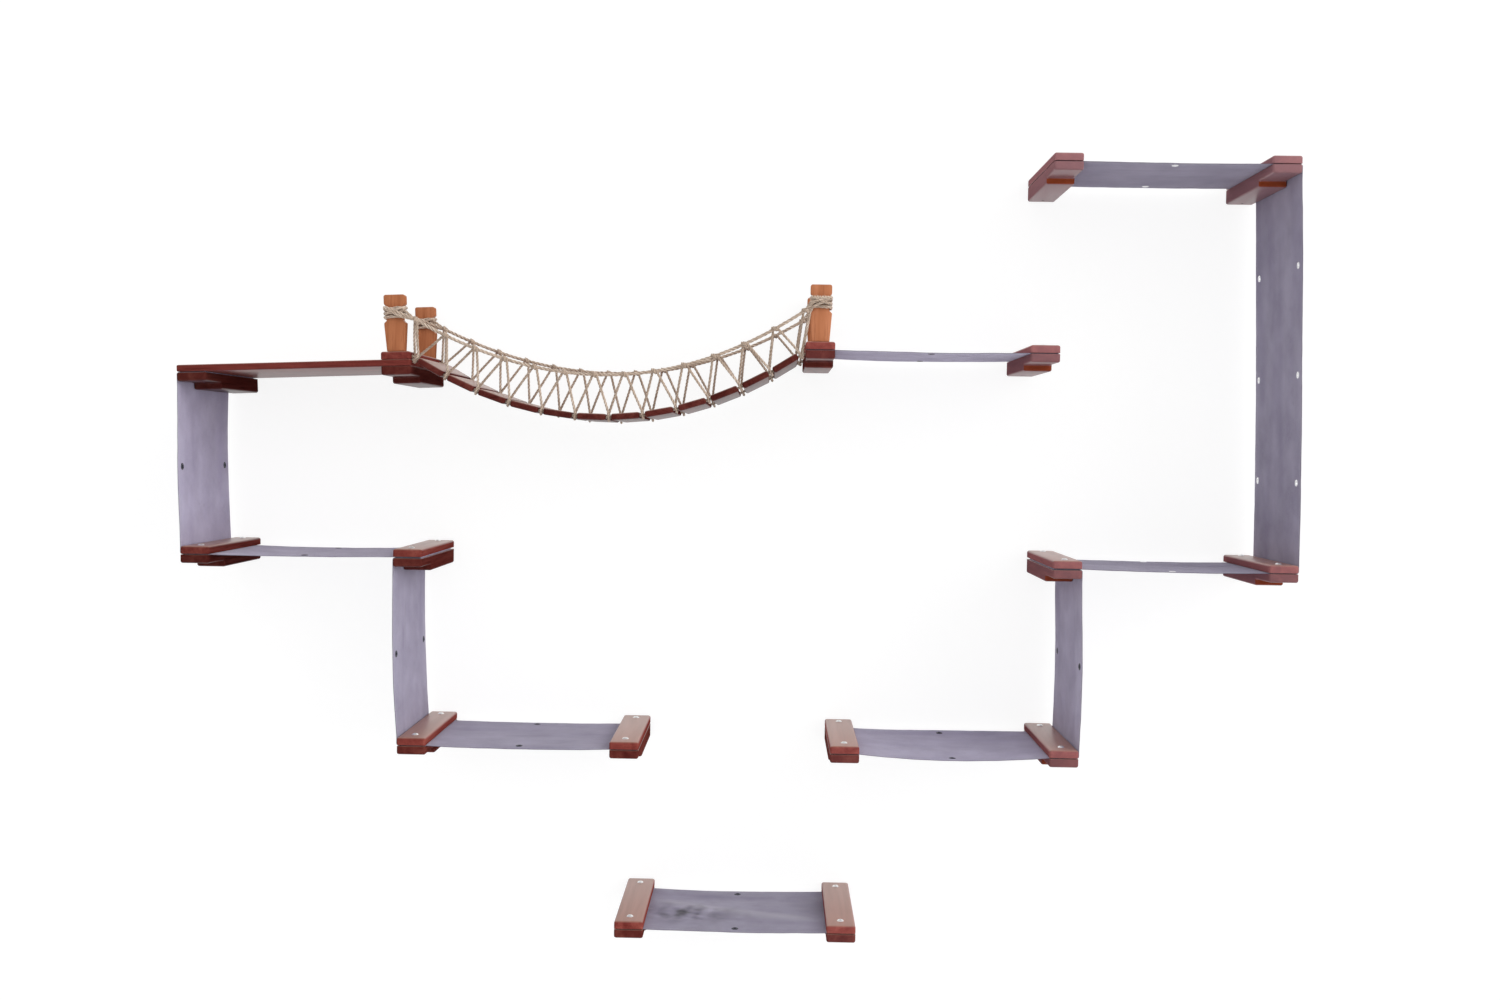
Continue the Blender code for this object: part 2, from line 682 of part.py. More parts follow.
def make_deck_ropes(b, joints, rope, parts):
    """Each deck rope ends in a hole in the left cap and one in the right arm."""
    left, right = b["bridge_left"], b["bridge_right"]
    depth = TIE_DEPTH - TIE_END_GAP
    line = [rope_tie(left, depth), rope_tie(left), *joints, rope_tie(right), rope_tie(right, depth)]
    for place, out in zip(("front", "back"), rope_lines()):
        offset = Vector((0, out, 0))
        make_rope(f"deck_rope_{place}", [point + offset for point in line], ROPE_RADIUS, rope, parts)


def neck_point(quarter, step, lift=0.0):
    """A point of a turn round a neck, from above and anticlockwise: a step of the way round a corner."""
    x_way, y_way = ((-1, 1), (-1, -1), (1, -1), (1, 1))[quarter]
    across = x_way * (POST_NECK_WIDTH / 2 - POST_EDGE_ROUND)
    out = y_way * (POST_THICK / 2 - POST_EDGE_ROUND)
    radius = POST_EDGE_ROUND + WIND_SEAT + ROPE_RADIUS + lift
    angle = math.radians(90) * (quarter + 1 + step / CORNER_STEPS)
    return Vector((across + radius * math.cos(angle), out + radius * math.sin(angle), 0))


def lengths_along(points):
    """Length of the line up to each of its points."""
    lengths = [0.0]
    for before, after in zip(points, points[1:]):
        lengths.append(lengths[-1] + (after - before).length)
    return lengths


def winding():
    """Rope round a neck: up from its tail behind the post, and out in front over its own last turn."""
    turn = [neck_point(quarter, step) for quarter in range(4) for step in range(CORNER_STEPS + 1)]
    pitch = 2 * ROPE_RADIUS + WIND_GAP
    slope = pitch / lengths_along([*turn, turn[0]])[-1]
    flat = [Vector((0, turn[0].y, 0)), *(turn * WIND_TURNS)]
    points = [place + Vector((0, 0, slope * length)) for place, length in zip(flat, lengths_along(flat))]
    over = [(quarter, step) for quarter in range(2) for step in range(CORNER_STEPS + 1)] + [(2, 0)]
    below = points[len(points) - len(turn) :]
    for index, (quarter, step) in enumerate(over):
        lean = math.radians(90) * index / (len(over) - 1)
        place = neck_point(quarter, step, pitch * math.sin(lean))
        points.append(place + Vector((0, 0, below[index].z + pitch * math.cos(lean))))
    across = POST_NECK_WIDTH / 2 + WIND_SEAT + ROPE_RADIUS
    lift = math.sqrt(2) * (ROPE_RADIUS + WIND_SEAT)
    high = POST_HEAD_LOW - POST_HEAD_WIDTH / 2 + across - lift
    top = max(point.z for point in points)
    return [point + Vector((0, 0, high - top)) for point in points]


def least_gap(points, radius, apart):
    """Least gap of a tube to itself, measured on its points, between points this far apart along it."""
    lengths = lengths_along(points)
    gap = math.inf
    for first, here in enumerate(points):
        for second in range(first + 1, len(points)):
            if lengths[second] - lengths[first] > apart:
                gap = min(gap, (points[second] - here).length - 2 * radius)
    return gap


def mirrored(point):
    return Vector((-point.x, point.y, point.z))


def rail_point(start, end, sag, x):
    """A place on a slung handrail, which sags a little more towards its right end."""
    share = (x - start.x) / (end.x - start.x)
    down = 4 * sag * share * (1 - share) * (1 + RAIL_LEAN_SHARE * (2 * share - 1))
    return Vector((x, start.y, start.z + (end.z - start.z) * share - down))


def rail_ties(left, right, count):
    """The lacing's places on each handrail, spread evenly, one more than the deck has joints."""
    leave = neck_point(2, 0)
    left_end = Vector((leave.x, leave.y, RAIL_LEFT_HEIGHT))
    right_end = Vector((-leave.x, leave.y, RAIL_RIGHT_HEIGHT))
    first = left.point(POST_BODY_WIDTH / 2, left.cap_high)[0] + RAIL_LEFT_INSET
    last = right.point(-POST_BODY_WIDTH / 2, right.cap_high)[0] - RAIL_RIGHT_INSET
    places = [first + (last - first) * index / count for index in range(count + 1)]
    ties = []
    for out, sag in zip(post_lines(), (RAIL_SAG_FRONT, RAIL_SAG_BACK)):
        start, end = left.on_post(left_end, out), right.on_post(right_end, out)
        ties.append([rail_point(start, end, sag, x) for x in places])
    return ties


def make_handrails(b, ties, rope, parts):
    """Each handrail is one rope: wound round a post, slung to the other post and wound round it."""
    turns = winding()
    half_turn = POST_NECK_WIDTH + POST_THICK
    print(f"winding: least gap {least_gap(turns, ROPE_RADIUS, half_turn) / MM:.2f} mm")
    for place, out, slung in zip(("front", "back"), post_lines(), ties):
        line = [b["bridge_left"].on_post(point, out) for point in turns]
        line += slung
        line += [b["bridge_right"].on_post(mirrored(point), out) for point in reversed(turns)]
        make_rope(f"handrail_{place}", line, ROPE_RADIUS, rope, parts)


def hook_points(center, along, start, end):
    """Lacing round a rope: part of a turn in the plane square to the rope, angles from the front."""
    radius = ROPE_RADIUS + LACE_RADIUS + ROPE_CLEAR
    up = Vector((-along.z, 0, along.x))
    points = []
    for step in range(HOOK_STEPS + 1):
        angle = math.radians(start + (end - start) * step / HOOK_STEPS)
        points.append(center + radius * (Vector((0, -1, 0)) * math.cos(angle) + up * math.sin(angle)))
    return points


def directions(points):
    """Unit direction of the line at each of its points."""
    padded = [points[0], *points, points[-1]]
    return [(padded[index + 2] - padded[index]).normalized() for index in range(len(points))]


def gap_loop(center, along):
    """Lacing down in front of the deck rope, under it and up behind it, in the gap between planks."""
    lift = Vector((-along.z, 0, along.x)) * (PLANK_THICK / 2 + LACE_LIFT)
    loop = hook_points(center, along, 0, -180)
    return [loop[0] + lift, *loop, loop[-1] + lift]


def make_lacing(joints, ties, lace, parts):
    """Each lacing zigzags from a tie on the handrail to a gap in the deck, doubled at both ends."""
    side = Vector((LACE_TIE_PITCH, 0, 0))
    level = Vector((1, 0, 0))
    line = [joints[0] - 2 * side, *joints, joints[-1] + 2 * side]
    along = directions(line)[1:-1]
    for place, slung, rope_out in zip(("front", "back"), ties, rope_lines()):
        rail_along = directions(slung)
        deck_offset = Vector((0, rope_out, 0))
        points = gap_loop(joints[0] - side + deck_offset, level)[1:]
        for index, tie in enumerate(slung):
            points += hook_points(tie, rail_along[index], 180, 0)
            if index < len(joints):
                points += gap_loop(joints[index] + deck_offset, along[index])
        points += gap_loop(joints[-1] + side + deck_offset, level)[:-1]
        make_rope(f"lacing_{place}", points, LACE_RADIUS, lace, parts)


def main():
    clear_scene()
    parts = new_collection("wall_cat_tree")
    cutters = new_collection("cutters")
    dark_wood = new_material("reddish_hardwood", (0.16, 0.035, 0.022), 0.32)
    post_wood = new_material("orange_hardwood", (0.42, 0.14, 0.045), 0.35)
    canvas = new_material("grey_violet_canvas", (0.23, 0.20, 0.28), 0.9)
    rope = new_material("jute_rope", (0.52, 0.41, 0.27), 0.95)
    lace = new_material("jute_lacing", (0.56, 0.45, 0.31), 0.95)
    brackets = lay_out_brackets()
    make_brackets(brackets, dark_wood, parts, cutters)
    make_board(brackets, dark_wood, parts)
    make_canvases(brackets, canvas, parts, cutters)
    make_posts(brackets, post_wood, parts, cutters)
    joints, slopes = deck_joints(brackets["bridge_left"], brackets["bridge_right"])
    make_planks(joints, slopes, dark_wood, parts, cutters)
    make_deck_ropes(brackets, joints, rope, parts)
    ties = rail_ties(brackets["bridge_left"], brackets["bridge_right"], len(joints))
    make_handrails(brackets, ties, rope, parts)
    make_lacing(joints, ties, lace, parts)


main()
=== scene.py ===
"""Looks of the wall-mounted cat tree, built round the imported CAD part.

Metres, in the part's frame: +X right, +Z up, the wall at y = 0 and the room towards -Y.
"""

import json
import math
import random

import bmesh
import bpy
from mathutils import Matrix, Vector, noise


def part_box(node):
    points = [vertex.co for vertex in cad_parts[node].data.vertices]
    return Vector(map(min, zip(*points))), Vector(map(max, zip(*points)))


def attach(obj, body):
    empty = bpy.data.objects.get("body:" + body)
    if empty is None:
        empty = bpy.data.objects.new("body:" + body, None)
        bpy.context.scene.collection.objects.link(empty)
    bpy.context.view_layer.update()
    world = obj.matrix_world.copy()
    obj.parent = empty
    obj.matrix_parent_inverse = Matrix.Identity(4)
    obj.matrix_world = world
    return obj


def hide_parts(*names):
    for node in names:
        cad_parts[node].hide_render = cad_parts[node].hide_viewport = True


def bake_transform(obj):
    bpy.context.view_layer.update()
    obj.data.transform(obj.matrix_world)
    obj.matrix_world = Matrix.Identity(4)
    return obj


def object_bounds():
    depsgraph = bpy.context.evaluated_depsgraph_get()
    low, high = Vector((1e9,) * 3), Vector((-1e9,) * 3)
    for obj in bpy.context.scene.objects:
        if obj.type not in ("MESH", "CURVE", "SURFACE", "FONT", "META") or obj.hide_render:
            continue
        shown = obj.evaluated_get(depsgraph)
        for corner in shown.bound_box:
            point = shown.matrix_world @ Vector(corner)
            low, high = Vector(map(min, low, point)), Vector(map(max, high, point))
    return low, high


MM = 0.001
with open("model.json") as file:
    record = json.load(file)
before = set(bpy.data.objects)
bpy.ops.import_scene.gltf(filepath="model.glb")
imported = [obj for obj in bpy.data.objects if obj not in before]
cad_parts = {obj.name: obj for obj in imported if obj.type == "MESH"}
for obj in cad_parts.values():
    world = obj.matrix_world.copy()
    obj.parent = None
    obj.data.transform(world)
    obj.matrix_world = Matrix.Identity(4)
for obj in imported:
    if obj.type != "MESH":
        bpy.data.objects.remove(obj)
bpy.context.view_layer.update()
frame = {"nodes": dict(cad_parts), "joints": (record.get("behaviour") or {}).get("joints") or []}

# Sizes that the solids share
ARM_WIDTH = 55.0 * MM
ARM_REACH = 279.0 * MM
ARM_TIP_THICK = 16.0 * MM
ARM_ROOT_THICK = 28.5 * MM
ARM_ROOT_REACH = 199.0 * MM
CAP_THICK = 14.5 * MM
BOARD_THICK = 13.0 * MM
EDGE_ROUND = 3.0 * MM
SEAT_GAP = 0.3 * MM
CANVAS_THICK = 1.2 * MM
SET_SCREW_RADIUS = 2.6 * MM
SET_SCREW_DEPTH = 8.0 * MM
SET_SCREW_REACH = 20.0 * MM
BOLT_TIP_INSET = 32.0 * MM
BOLT_WALL_INSET = 30.0 * MM
BOLT_POST_INSET = 47.0 * MM
SHELF_PITCH = 385.0 * MM
SHELF_RISE = 16.0 * MM
POST_HEIGHT = 106.0 * MM
POST_THICK = 18.0 * MM
POST_HEAD_WIDTH = 40.0 * MM
POST_HEAD_LOW = 88.5 * MM
POST_NECK_HIGH = 83.5 * MM
POST_NECK_LOW = 58.0 * MM
POST_NECK_WIDTH = 30.0 * MM
POST_BODY_WIDTH = 41.0 * MM
POST_BODY_HIGH = 52.5 * MM
POST_FOOT_WIDTH = 33.0 * MM
POST_TOP_ROUND = 4.0 * MM
POST_EDGE_ROUND = 1.5 * MM
PLANK_WIDTH = 53.0 * MM
PLANK_THICK = 12.5 * MM
DECK_LEFT_GAP = 8.9 * MM
DECK_LEFT_DROP = 5.5 * MM
ROPE_BORE_RADIUS = 3.9 * MM
ROPE_INSET = 14.0 * MM
TIE_DEPTH = 13.0 * MM
TIE_SEAM_INSET = 6.0 * MM
ROPE_RADIUS = 3.0 * MM
LACE_RADIUS = 2.4 * MM
ROPE_CLEAR = 0.9 * MM
WIND_TURNS = 3
RAIL_LEFT_HEIGHT = 74.0 * MM
RAIL_RIGHT_HEIGHT = 68.0 * MM
RAIL_SAGS = {"front": 124.5 * MM, "back": 109.5 * MM}
RAIL_LEAN_SHARE = 0.05
RAIL_LEFT_INSET = 18.0 * MM
RAIL_RIGHT_INSET = 9.0 * MM
LACE_TIE_PITCH = 5.2 * MM
TONGUE_INSET = 3.0 * MM
SLING_SAG = 3.0 * MM
TREAD_SAG = 2.0 * MM
WIDE_STEP_SAG = 9.0 * MM
DROP_BULGE = 3.0 * MM
EYELET_INSET = 20.0 * MM
EYELET_PITCH = 203.0 * MM

# Folds, ripples and dents of the cloth: scale over its width, scale along it, start, height in MM
FOLDS = ((26, 3.2, 2.7, 1.5), (60, 9.0, 8.1, 0.5), (38, 38, 4.4, 0.35))
RUMPLE_SCALE = 95

LAYER = CANVAS_THICK + SEAT_GAP
HALF_WIDTH = ARM_WIDTH / 2
SHELF_TILT = math.asin(SHELF_RISE / SHELF_PITCH)

# Sizes of the finer pieces
OUTER_ROUND = 4.2 * MM
SEAM_ROUND = 1.2 * MM
PLANK_ROUND = 3.8 * MM
BEVEL_STEPS = 4
BEVEL_ANGLE = math.radians(20)
BOLT_RADIUS = 6.4 * MM
BOLT_RISE = 2.6 * MM
SOCKET_RADIUS = 2.0 * MM
SOCKET_FLOOR = 0.7 * MM
SCREW_CLEAR = 0.15 * MM
SCREW_HEIGHT = 3.0 * MM
SCREW_SINK_SHARE = 0.35
PROFILE_START = 0.02 * MM
EYELET_OUTER = 6.6 * MM
EYELET_HOLE = 2.9 * MM
LEVEL_BACK_SHARE = 0.85
HIGH_SLING_SAG = 1.0 * MM
LOW_SLING_LENGTH = 451.0 * MM
CLOTH_STEP = 4.0 * MM
CLOTH_THICK_SHARE = 0.92
ARC_STEPS = 6
SPAN_STEPS = 40
STRETCH_REACH = 20.0 * MM
STILL_EDGE = 4.0 * MM
FREE_RISE = 50.0 * MM
WORN_EDGE = 6.0 * MM
RAIL_ROPE_RADIUS = 1.1 * ROPE_RADIUS
LACE_ROPE_RADIUS = 1.08 * LACE_RADIUS
DECK_ROPE_RADIUS = 0.98 * ROPE_RADIUS
LACE_STILL = 16.0 * MM
LACE_FOLLOWS = 9.0 * MM
ROPE_LAP = 0.2 * MM
MOUTH_START = 1.0 * MM
MOUTH_REACH = 8.0 * MM
GAP_REACH = 9.0 * MM
GAP_BEND = 7.0 * MM
LEAST_PARTING = 0.02
CORNER_STEPS = 6
RAIL_STEPS = 60
ROPE_STEP = 1.6 * MM
STRANDS = 3
STRAND_SIDES = 7
LAY_TURN = 8.5
STRAND_SHARE = 0.53
# Unevenness of a strand's thickness and reach: its share, its pace along the rope, and strands apart
THICK_CHANGES = (0.12, 160, 9.1)
REACH_CHANGES = (0.10, 90, 5.3)
FIBRE_RADIUS = 0.07 * MM
FIBRE_TAPER = (1.0, 0.8, 0.3)
FIBRE_LENGTHS = (1.5, 4.5)
FIBRE_BEND = 0.6
FIBRE_LEAN = 1.4
FIBRE_ROOT_SHARE = 0.8
WIND_PITCH = 7.2 * MM
LEFT_LEAVE_HEIGHT = 70.0 * MM
RIGHT_LEAVE_HEIGHT = 74.0 * MM
WRAP_LOW = 64.0 * MM
WRAP_HIGH = 84.0 * MM
WRAP_SETTLE = 6.0 * MM
WRAP_SHIFT = 4.0 * MM
STAY_SHIFT = 3.0 * MM
CROSSING_LIFT_SHARE = 1.3
FRAY_HEIGHT = 82.5 * MM
FRAY_LOOPS = 7
FRAY_LOOP_RADIUS = 2.2 * MM
FRAY_RADIUS = 1.3 * MM
FRAY_REACH_SHARE = 1.15
HITCH_TURNS = 1.2
HITCH_PITCH = 1.6 * LACE_RADIUS
HITCH_SEAT_SHARE = 0.45
HITCH_RISE_SHARE = 0.6
HITCH_LEANS = (0.8, 1.2)
HOOK_SHARE = 0.8
HITCH_START = math.radians(200)
CROSS_START = 80
LACE_BOW = 0.9 * MM
LACE_RISE = 2.3 * MM

# Woods: tone of the darkest and the plainest pieces, and the places where they change along the wall
ARM_TONES = (0.48, 0.85)
CAP_TONES = (0.90, 1.62)
POST_TONES = (1.05, 1.35)
PLANK_TONES = (0.50, 0.68)
TONE_FROM = -0.40
# Painted glare that pales the wood up at the right: where it starts and ends along the wall, its least share,
# and how much more it gets with height
GLARE_FROM = 0.75
GLARE_TO = 1.30
LOW_BRACKETS = -0.60
LOW_TONE_SHARE = 0.75
TONE_SPREAD = (0.94, 1.06)
LEAST_GLARE = 0.30
GLARE_BY_HEIGHT = 0.3

# Shares of the low sling's length and width where its ridge, its rumpled place and its painted dark corner
# lie
RIDGE_START_SHARE = 0.32
RIDGE_SLOPE_SHARE = 0.50
RIDGE_WIDTH_SHARE = 0.07
RIDGE_HEIGHT = 2.8 * MM
RUMPLE_HEIGHT = 1.6 * MM
RUMPLED_SHARES = ((0.28, 0.20), (0.62, 0.16))
CORNER_SHARES = ((0.92, 0.16), (0.45, 0.24))

# How much painted shade darkens the low sling's rumpled place and corner, and how pale the cloth's edges and
# the ridge have worn
LEAST_SHADE = 0.30
SPOT_SHADE = 0.7
CORNER_SHADE = 0.34
EDGE_WEAR = 0.35
RIDGE_WEAR = 0.8

# Brightness of each strip of canvas, painted in for how much light falls on it
CANVAS_PAINTED_LIGHT = {
    "canvas_right_long": 1.10,
    "canvas_right_step": 1.34,
    "canvas_left_long": 1.36,
    "canvas_left_step": 1.08,
    "canvas_end_sling": 1.52,
    "canvas_low_sling": 0.96,
}

# Light, and the pale room that takes the shadows
WORLD_STRENGTH = 0.66
SHADOW_SHARE = 0.20
ROOM_GLOW = 0.86
ROOM_PALE = (0.90, 0.90, 0.90)
ROOM_HALF_WIDTH = 6.0
ROOM_HALF_DEPTH = 4.0
ROOM_HALF_HEIGHT = 3.2
ROOM_RAISE = 0.6
FLOOR_HEIGHT = -2.2
WALL_BEHIND = 1.0 * MM

# The way each light comes from, its spread in degrees and its strength
KEY_LIGHT = ((0.84, -0.44, 0.32), 50, 1.35)
FILL_LIGHT = ((0.05, -0.80, 0.60), 60, 0.25)

# Camera that took the photograph
CAMERA_PLACE = (705.3 * MM, -2978.15 * MM, -127.55 * MM)
CAMERA_YAW = math.radians(-0.82364)
CAMERA_PITCH = math.radians(-2.05468)
CAMERA_ROLL = math.radians(-0.96347)
CAMERA_LENS = 34.693
CAMERA_SENSOR = 36.0
CAMERA_NEAR = 0.05

RNG = random.Random(7)


def collection_object(name, data):
    obj = bpy.data.objects.new(name, data)
    bpy.context.scene.collection.objects.link(obj)
    return obj


def new_mesh(name, shape):
    mesh = bpy.data.meshes.new(name)
    shape.to_mesh(mesh)
    shape.free()
    return mesh


def mesh_object(name, shape, material):
    obj = collection_object(name, new_mesh(name, shape))
    obj.data.materials.append(material)
    return obj


def set_values(target, values):
    for key, value in values.items():
        setattr(target, key, value)


def modify(obj, kind, **values):
    set_values(obj.modifiers.new(kind, kind), values)


def applied(obj):
    """The object with its modifiers applied to its mesh, and its place too."""
    bpy.context.view_layer.update()
    graph = bpy.context.evaluated_depsgraph_get()
    mesh = bpy.data.meshes.new_from_object(obj.evaluated_get(graph))
    mesh.transform(obj.matrix_world)
    obj.modifiers.clear()
    if obj.type != "MESH":
        name = obj.name
        bpy.data.objects.remove(obj)
        return collection_object(name, mesh)
    obj.data = mesh
    obj.matrix_world = Matrix.Identity(4)
    return obj


def smooth(obj, angle=35):
    obj.data.shade_smooth()
    obj.data.set_sharp_from_angle(angle=math.radians(angle))


def place(obj, body, slot, *nodes):
    if nodes:
        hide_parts(*nodes)
    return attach(obj, body)


# Materials


class Nodes:
    """A material's node tree, with short calls for its nodes and links."""

    def __init__(self, name):
        self.material = bpy.data.materials.new(name)
        self.material.use_nodes = True
        self.tree = self.material.node_tree
        self.shader = self.tree.nodes["Principled BSDF"]

    def add(self, kind, **values):
        node = self.tree.nodes.new(kind)
        set_values(node, values)
        return node

    def link(self, source, target):
        self.tree.links.new(source, target)

    def feed(self, name, source):
        """Links a node's output to the shader's input of this name."""
        self.link(source, self.shader.inputs[name])

    def attribute(self, name):
        return self.add("ShaderNodeAttribute", attribute_name=name).outputs["Fac"]

    def stretched(self, vector, scale):
        mapping = self.add("ShaderNodeMapping")
        mapping.inputs["Scale"].default_value = scale
        self.link(vector, mapping.inputs["Vector"])
        return mapping.outputs["Vector"]

    def mapped(self, scale=(1.0, 1.0, 1.0)):
        """The object's own coordinates, stretched."""
        return self.stretched(self.add("ShaderNodeTexCoord").outputs["Object"], scale)

    def split(self, vector):
        """A vector's three numbers."""
        node = self.add("ShaderNodeSeparateXYZ")
        self.link(vector, node.inputs[0])
        return node.outputs

    def facing(self):
        """The surface's normal as three numbers. The last is 1 on a top, 0 on a side and -1 underneath."""
        return self.split(self.add("ShaderNodeNewGeometry").outputs["Normal"])

    def noise(self, vector, scale, detail=4, roughness=0.55, distortion=0.0):
        node = self.add("ShaderNodeTexNoise")
        node.inputs["Scale"].default_value = scale
        node.inputs["Detail"].default_value = detail
        node.inputs["Roughness"].default_value = roughness
        node.inputs["Distortion"].default_value = distortion
        self.link(vector, node.inputs["Vector"])
        return node.outputs["Fac"]

    def ramp(self, factor, stops):
        node = self.add("ShaderNodeValToRGB")
        elements = node.color_ramp.elements
        while len(elements) < len(stops):
            elements.new(0.5)
        for element, (position, color) in zip(elements, stops):
            element.position = position
            element.color = (*color, 1.0)
        self.link(factor, node.inputs["Fac"])
        return node.outputs["Color"]

    def mix(self, factor, first, second, blend="MIX"):
        node = self.add("ShaderNodeMix", data_type="RGBA", blend_type=blend)
        for value, name in ((factor, "Factor"), (first, "A"), (second, "B")):
            self.set_or_link(value, node.inputs[name])
        return node.outputs["Result"]

    def set_or_link(self, value, socket):
        if isinstance(value, bpy.types.NodeSocket):
            self.link(value, socket)
        elif isinstance(value, tuple):
            socket.default_value = (*value, 1.0)
        else:
            socket.default_value = value

    def math(self, operation, first, second=None):
        node = self.add("ShaderNodeMath", operation=operation)
        self.set_or_link(first, node.inputs[0])
        if second is not None:
            self.set_or_link(second, node.inputs[1])
        return node.outputs[0]

    def times(self, first, second):
        return self.math("MULTIPLY", first, second)

    def plus(self, first, second):
        return self.math("ADD", first, second)

    def map_range(self, value, low, high, new_low, new_high):
        node = self.add("ShaderNodeMapRange")
        self.link(value, node.inputs["Value"])
        for name, number in zip(("From Min", "From Max", "To Min", "To Max"), (low, high, new_low, new_high)):
            node.inputs[name].default_value = number
        return node.outputs["Result"]

    def tinted(self, color, tint, value, *ends, blend="MIX"):
        """The color mixed with a tint, by a value mapped as in map_range."""
        return self.mix(self.map_range(value, *ends), color, tint, blend)

    def toned(self, color):
        """The color, as bright as the piece's tone attribute says: the wood's own tone, and painted light and
        shade on the canvas.
        """
        shift = self.add("ShaderNodeHueSaturation")
        self.link(self.attribute("tone"), shift.inputs["Value"])
        self.link(color, shift.inputs["Color"])
        return shift.outputs["Color"]

    def mixed_shaders(self, factor, first, second):
        node = self.add("ShaderNodeMixShader")
        for source, socket in zip((factor, first.outputs[0], second.outputs[0]), node.inputs):
            self.link(source, socket)
        return node

    def bump(self, height, strength, distance):
        node = self.add("ShaderNodeBump")
        node.inputs["Strength"].default_value = strength
        node.inputs["Distance"].default_value = distance
        self.link(height, node.inputs["Height"])
        self.feed("Normal", node.outputs["Normal"])

    def set(self, **values):
        """Sets the shader's inputs, named as in Blender with _ for a space."""
        for name, value in values.items():
            self.shader.inputs[name.replace("_", " ")].default_value = value


# Scales of the grain across and along it, for streaks and bands, then for pores
GRAIN_SCALES = (14.0, 1.0)
PORE_SCALES = (260.0, 9.0)
TOP_GLOSS = 0.5
UNDERSIDE_GLOSS = 0.7
# Paler colour painted on the tops of the wood, as light falling from above
PAINTED_TOP_LIGHT = (0.50, 0.29, 0.215)


def along_grain(axis, scales):
    across_scale, along_scale = scales
    return tuple(along_scale if letter == axis else across_scale for letter in "XYZ")


def wood_material(name, axis, dark, mid, light, glare_tint, roughness=0.4):
    """Varnished hardwood: long streaks, pores and soft bands along the grain under a clear coat."""
    made = Nodes(name)
    grain = made.mapped(along_grain(axis, GRAIN_SCALES))
    streaks = made.noise(grain, 3.2, detail=6, roughness=0.62, distortion=0.6)
    bands = made.noise(grain, 0.9, detail=2)
    pores = made.noise(made.mapped(along_grain(axis, PORE_SCALES)), 1.6, detail=3, roughness=0.7)
    color = made.ramp(streaks, ((0.28, dark), (0.5, mid), (0.74, light)))
    color = made.tinted(color, mid, bands, 0.35, 0.7, 0.0, 0.5)
    color = made.tinted(color, dark, pores, 0.3, 0.46, 0.45, 0.0, blend="MULTIPLY")
    upward = made.facing()["Z"]
    # Painted glare: the wood is mixed towards a paler colour by each piece's glare share
    color = made.mix(made.attribute("painted_glare"), made.toned(color), glare_tint)
    # Painted light: tops are mixed towards a paler colour, as if lit from above
    color = made.tinted(color, PAINTED_TOP_LIGHT, upward, 0.5, 0.95, 0.0, 0.6)
    made.feed("Base Color", color)
    made.feed("Roughness", made.map_range(streaks, 0.3, 0.7, roughness + 0.1, roughness))
    height = made.plus(made.times(pores, 0.6), made.times(streaks, 0.5))
    made.bump(height, 0.2, 0.3 * MM)
    made.feed("Specular IOR Level", made.map_range(upward, 0.2, 0.9, 0.0, 0.25))
    on_top = made.map_range(upward, 0.2, 0.9, 0.0, TOP_GLOSS)
    below = made.map_range(upward, -0.9, -0.3, UNDERSIDE_GLOSS, 0.0)
    made.feed("Coat Weight", made.plus(below, on_top))
    made.set(Coat_Roughness=0.3)
    return made.material


CANVAS_DARK = (0.258, 0.229, 0.345)
CANVAS_MID = (0.326, 0.295, 0.419)
CANVAS_PALE = (0.396, 0.365, 0.499)
THREAD_TINT = (0.42, 0.40, 0.47)
SMUDGE_TINT = (0.16, 0.14, 0.21)
THREAD_GAP_SHADE = (0.12, 0.11, 0.15)
CREASE_TINT = (0.50, 0.48, 0.55)
BAND_TINT = (0.170, 0.142, 0.255)
RIM_SHADE = (0.075, 0.07, 0.09)
THREADS_PER_METRE = 1100.0
GROOVE_SHADE = (0.19, 0.16, 0.14)


def canvas_material(name):
    """Plain-woven canvas: over and under threads from the cloth's own lengths, slubs and paler and darker
    patches.
    """
    made = Nodes(name)
    uv = made.add("ShaderNodeUVMap", uv_map="cloth").outputs["UV"]
    along, out = (made.times(made.split(uv)[axis], THREADS_PER_METRE * math.pi) for axis in "XY")
    weave = made.times(made.math("SINE", along), made.math("SINE", out))
    slubs = made.noise(made.stretched(uv, (60.0, 900.0, 1.0)), 1.0, detail=3, roughness=0.6)
    cross_slubs = made.noise(made.stretched(uv, (900.0, 60.0, 1.0)), 1.0, detail=3, roughness=0.6)
    threads = made.plus(slubs, cross_slubs)
    patches = made.noise(made.mapped(), 14.0, detail=5, roughness=0.6)
    smudges = made.noise(made.mapped(), 55.0, detail=4, roughness=0.65)
    bands = made.noise(made.stretched(uv, (2.5, 13.0, 1.0)), 1.0, detail=2, distortion=0.4)
    color = made.ramp(patches, ((0.32, CANVAS_DARK), (0.5, CANVAS_MID), (0.68, CANVAS_PALE)))
    color = made.tinted(color, THREAD_TINT, threads, 0.75, 1.25, 0.0, 0.45)
    color = made.tinted(color, SMUDGE_TINT, smudges, 0.6, 0.78, 0.0, 0.3)
    # Painted shade in the gaps between the woven threads
    color = made.tinted(color, THREAD_GAP_SHADE, weave, -1.0, 1.0, 0.22, 0.0)
    color = made.mix(made.times(made.attribute("crease"), 0.55), color, CREASE_TINT)
    color = made.tinted(color, BAND_TINT, bands, 0.45, 0.70, 0.0, 0.38)
    # Painted shade on the cloth's cut edges, the faces that look to the room or the wall
    rim = made.map_range(made.math("ABSOLUTE", made.facing()["Y"]), 0.6, 0.9, 0.0, 0.7)
    made.feed("Base Color", made.mix(rim, made.toned(color), RIM_SHADE))
    height = made.plus(made.times(weave, 0.5), made.times(threads, 0.8))
    made.bump(height, 0.5, 0.3 * MM)
    made.set(Roughness=0.88, Sheen_Weight=0.25, Sheen_Roughness=0.45, Specular_IOR_Level=0.25)
    return made.material


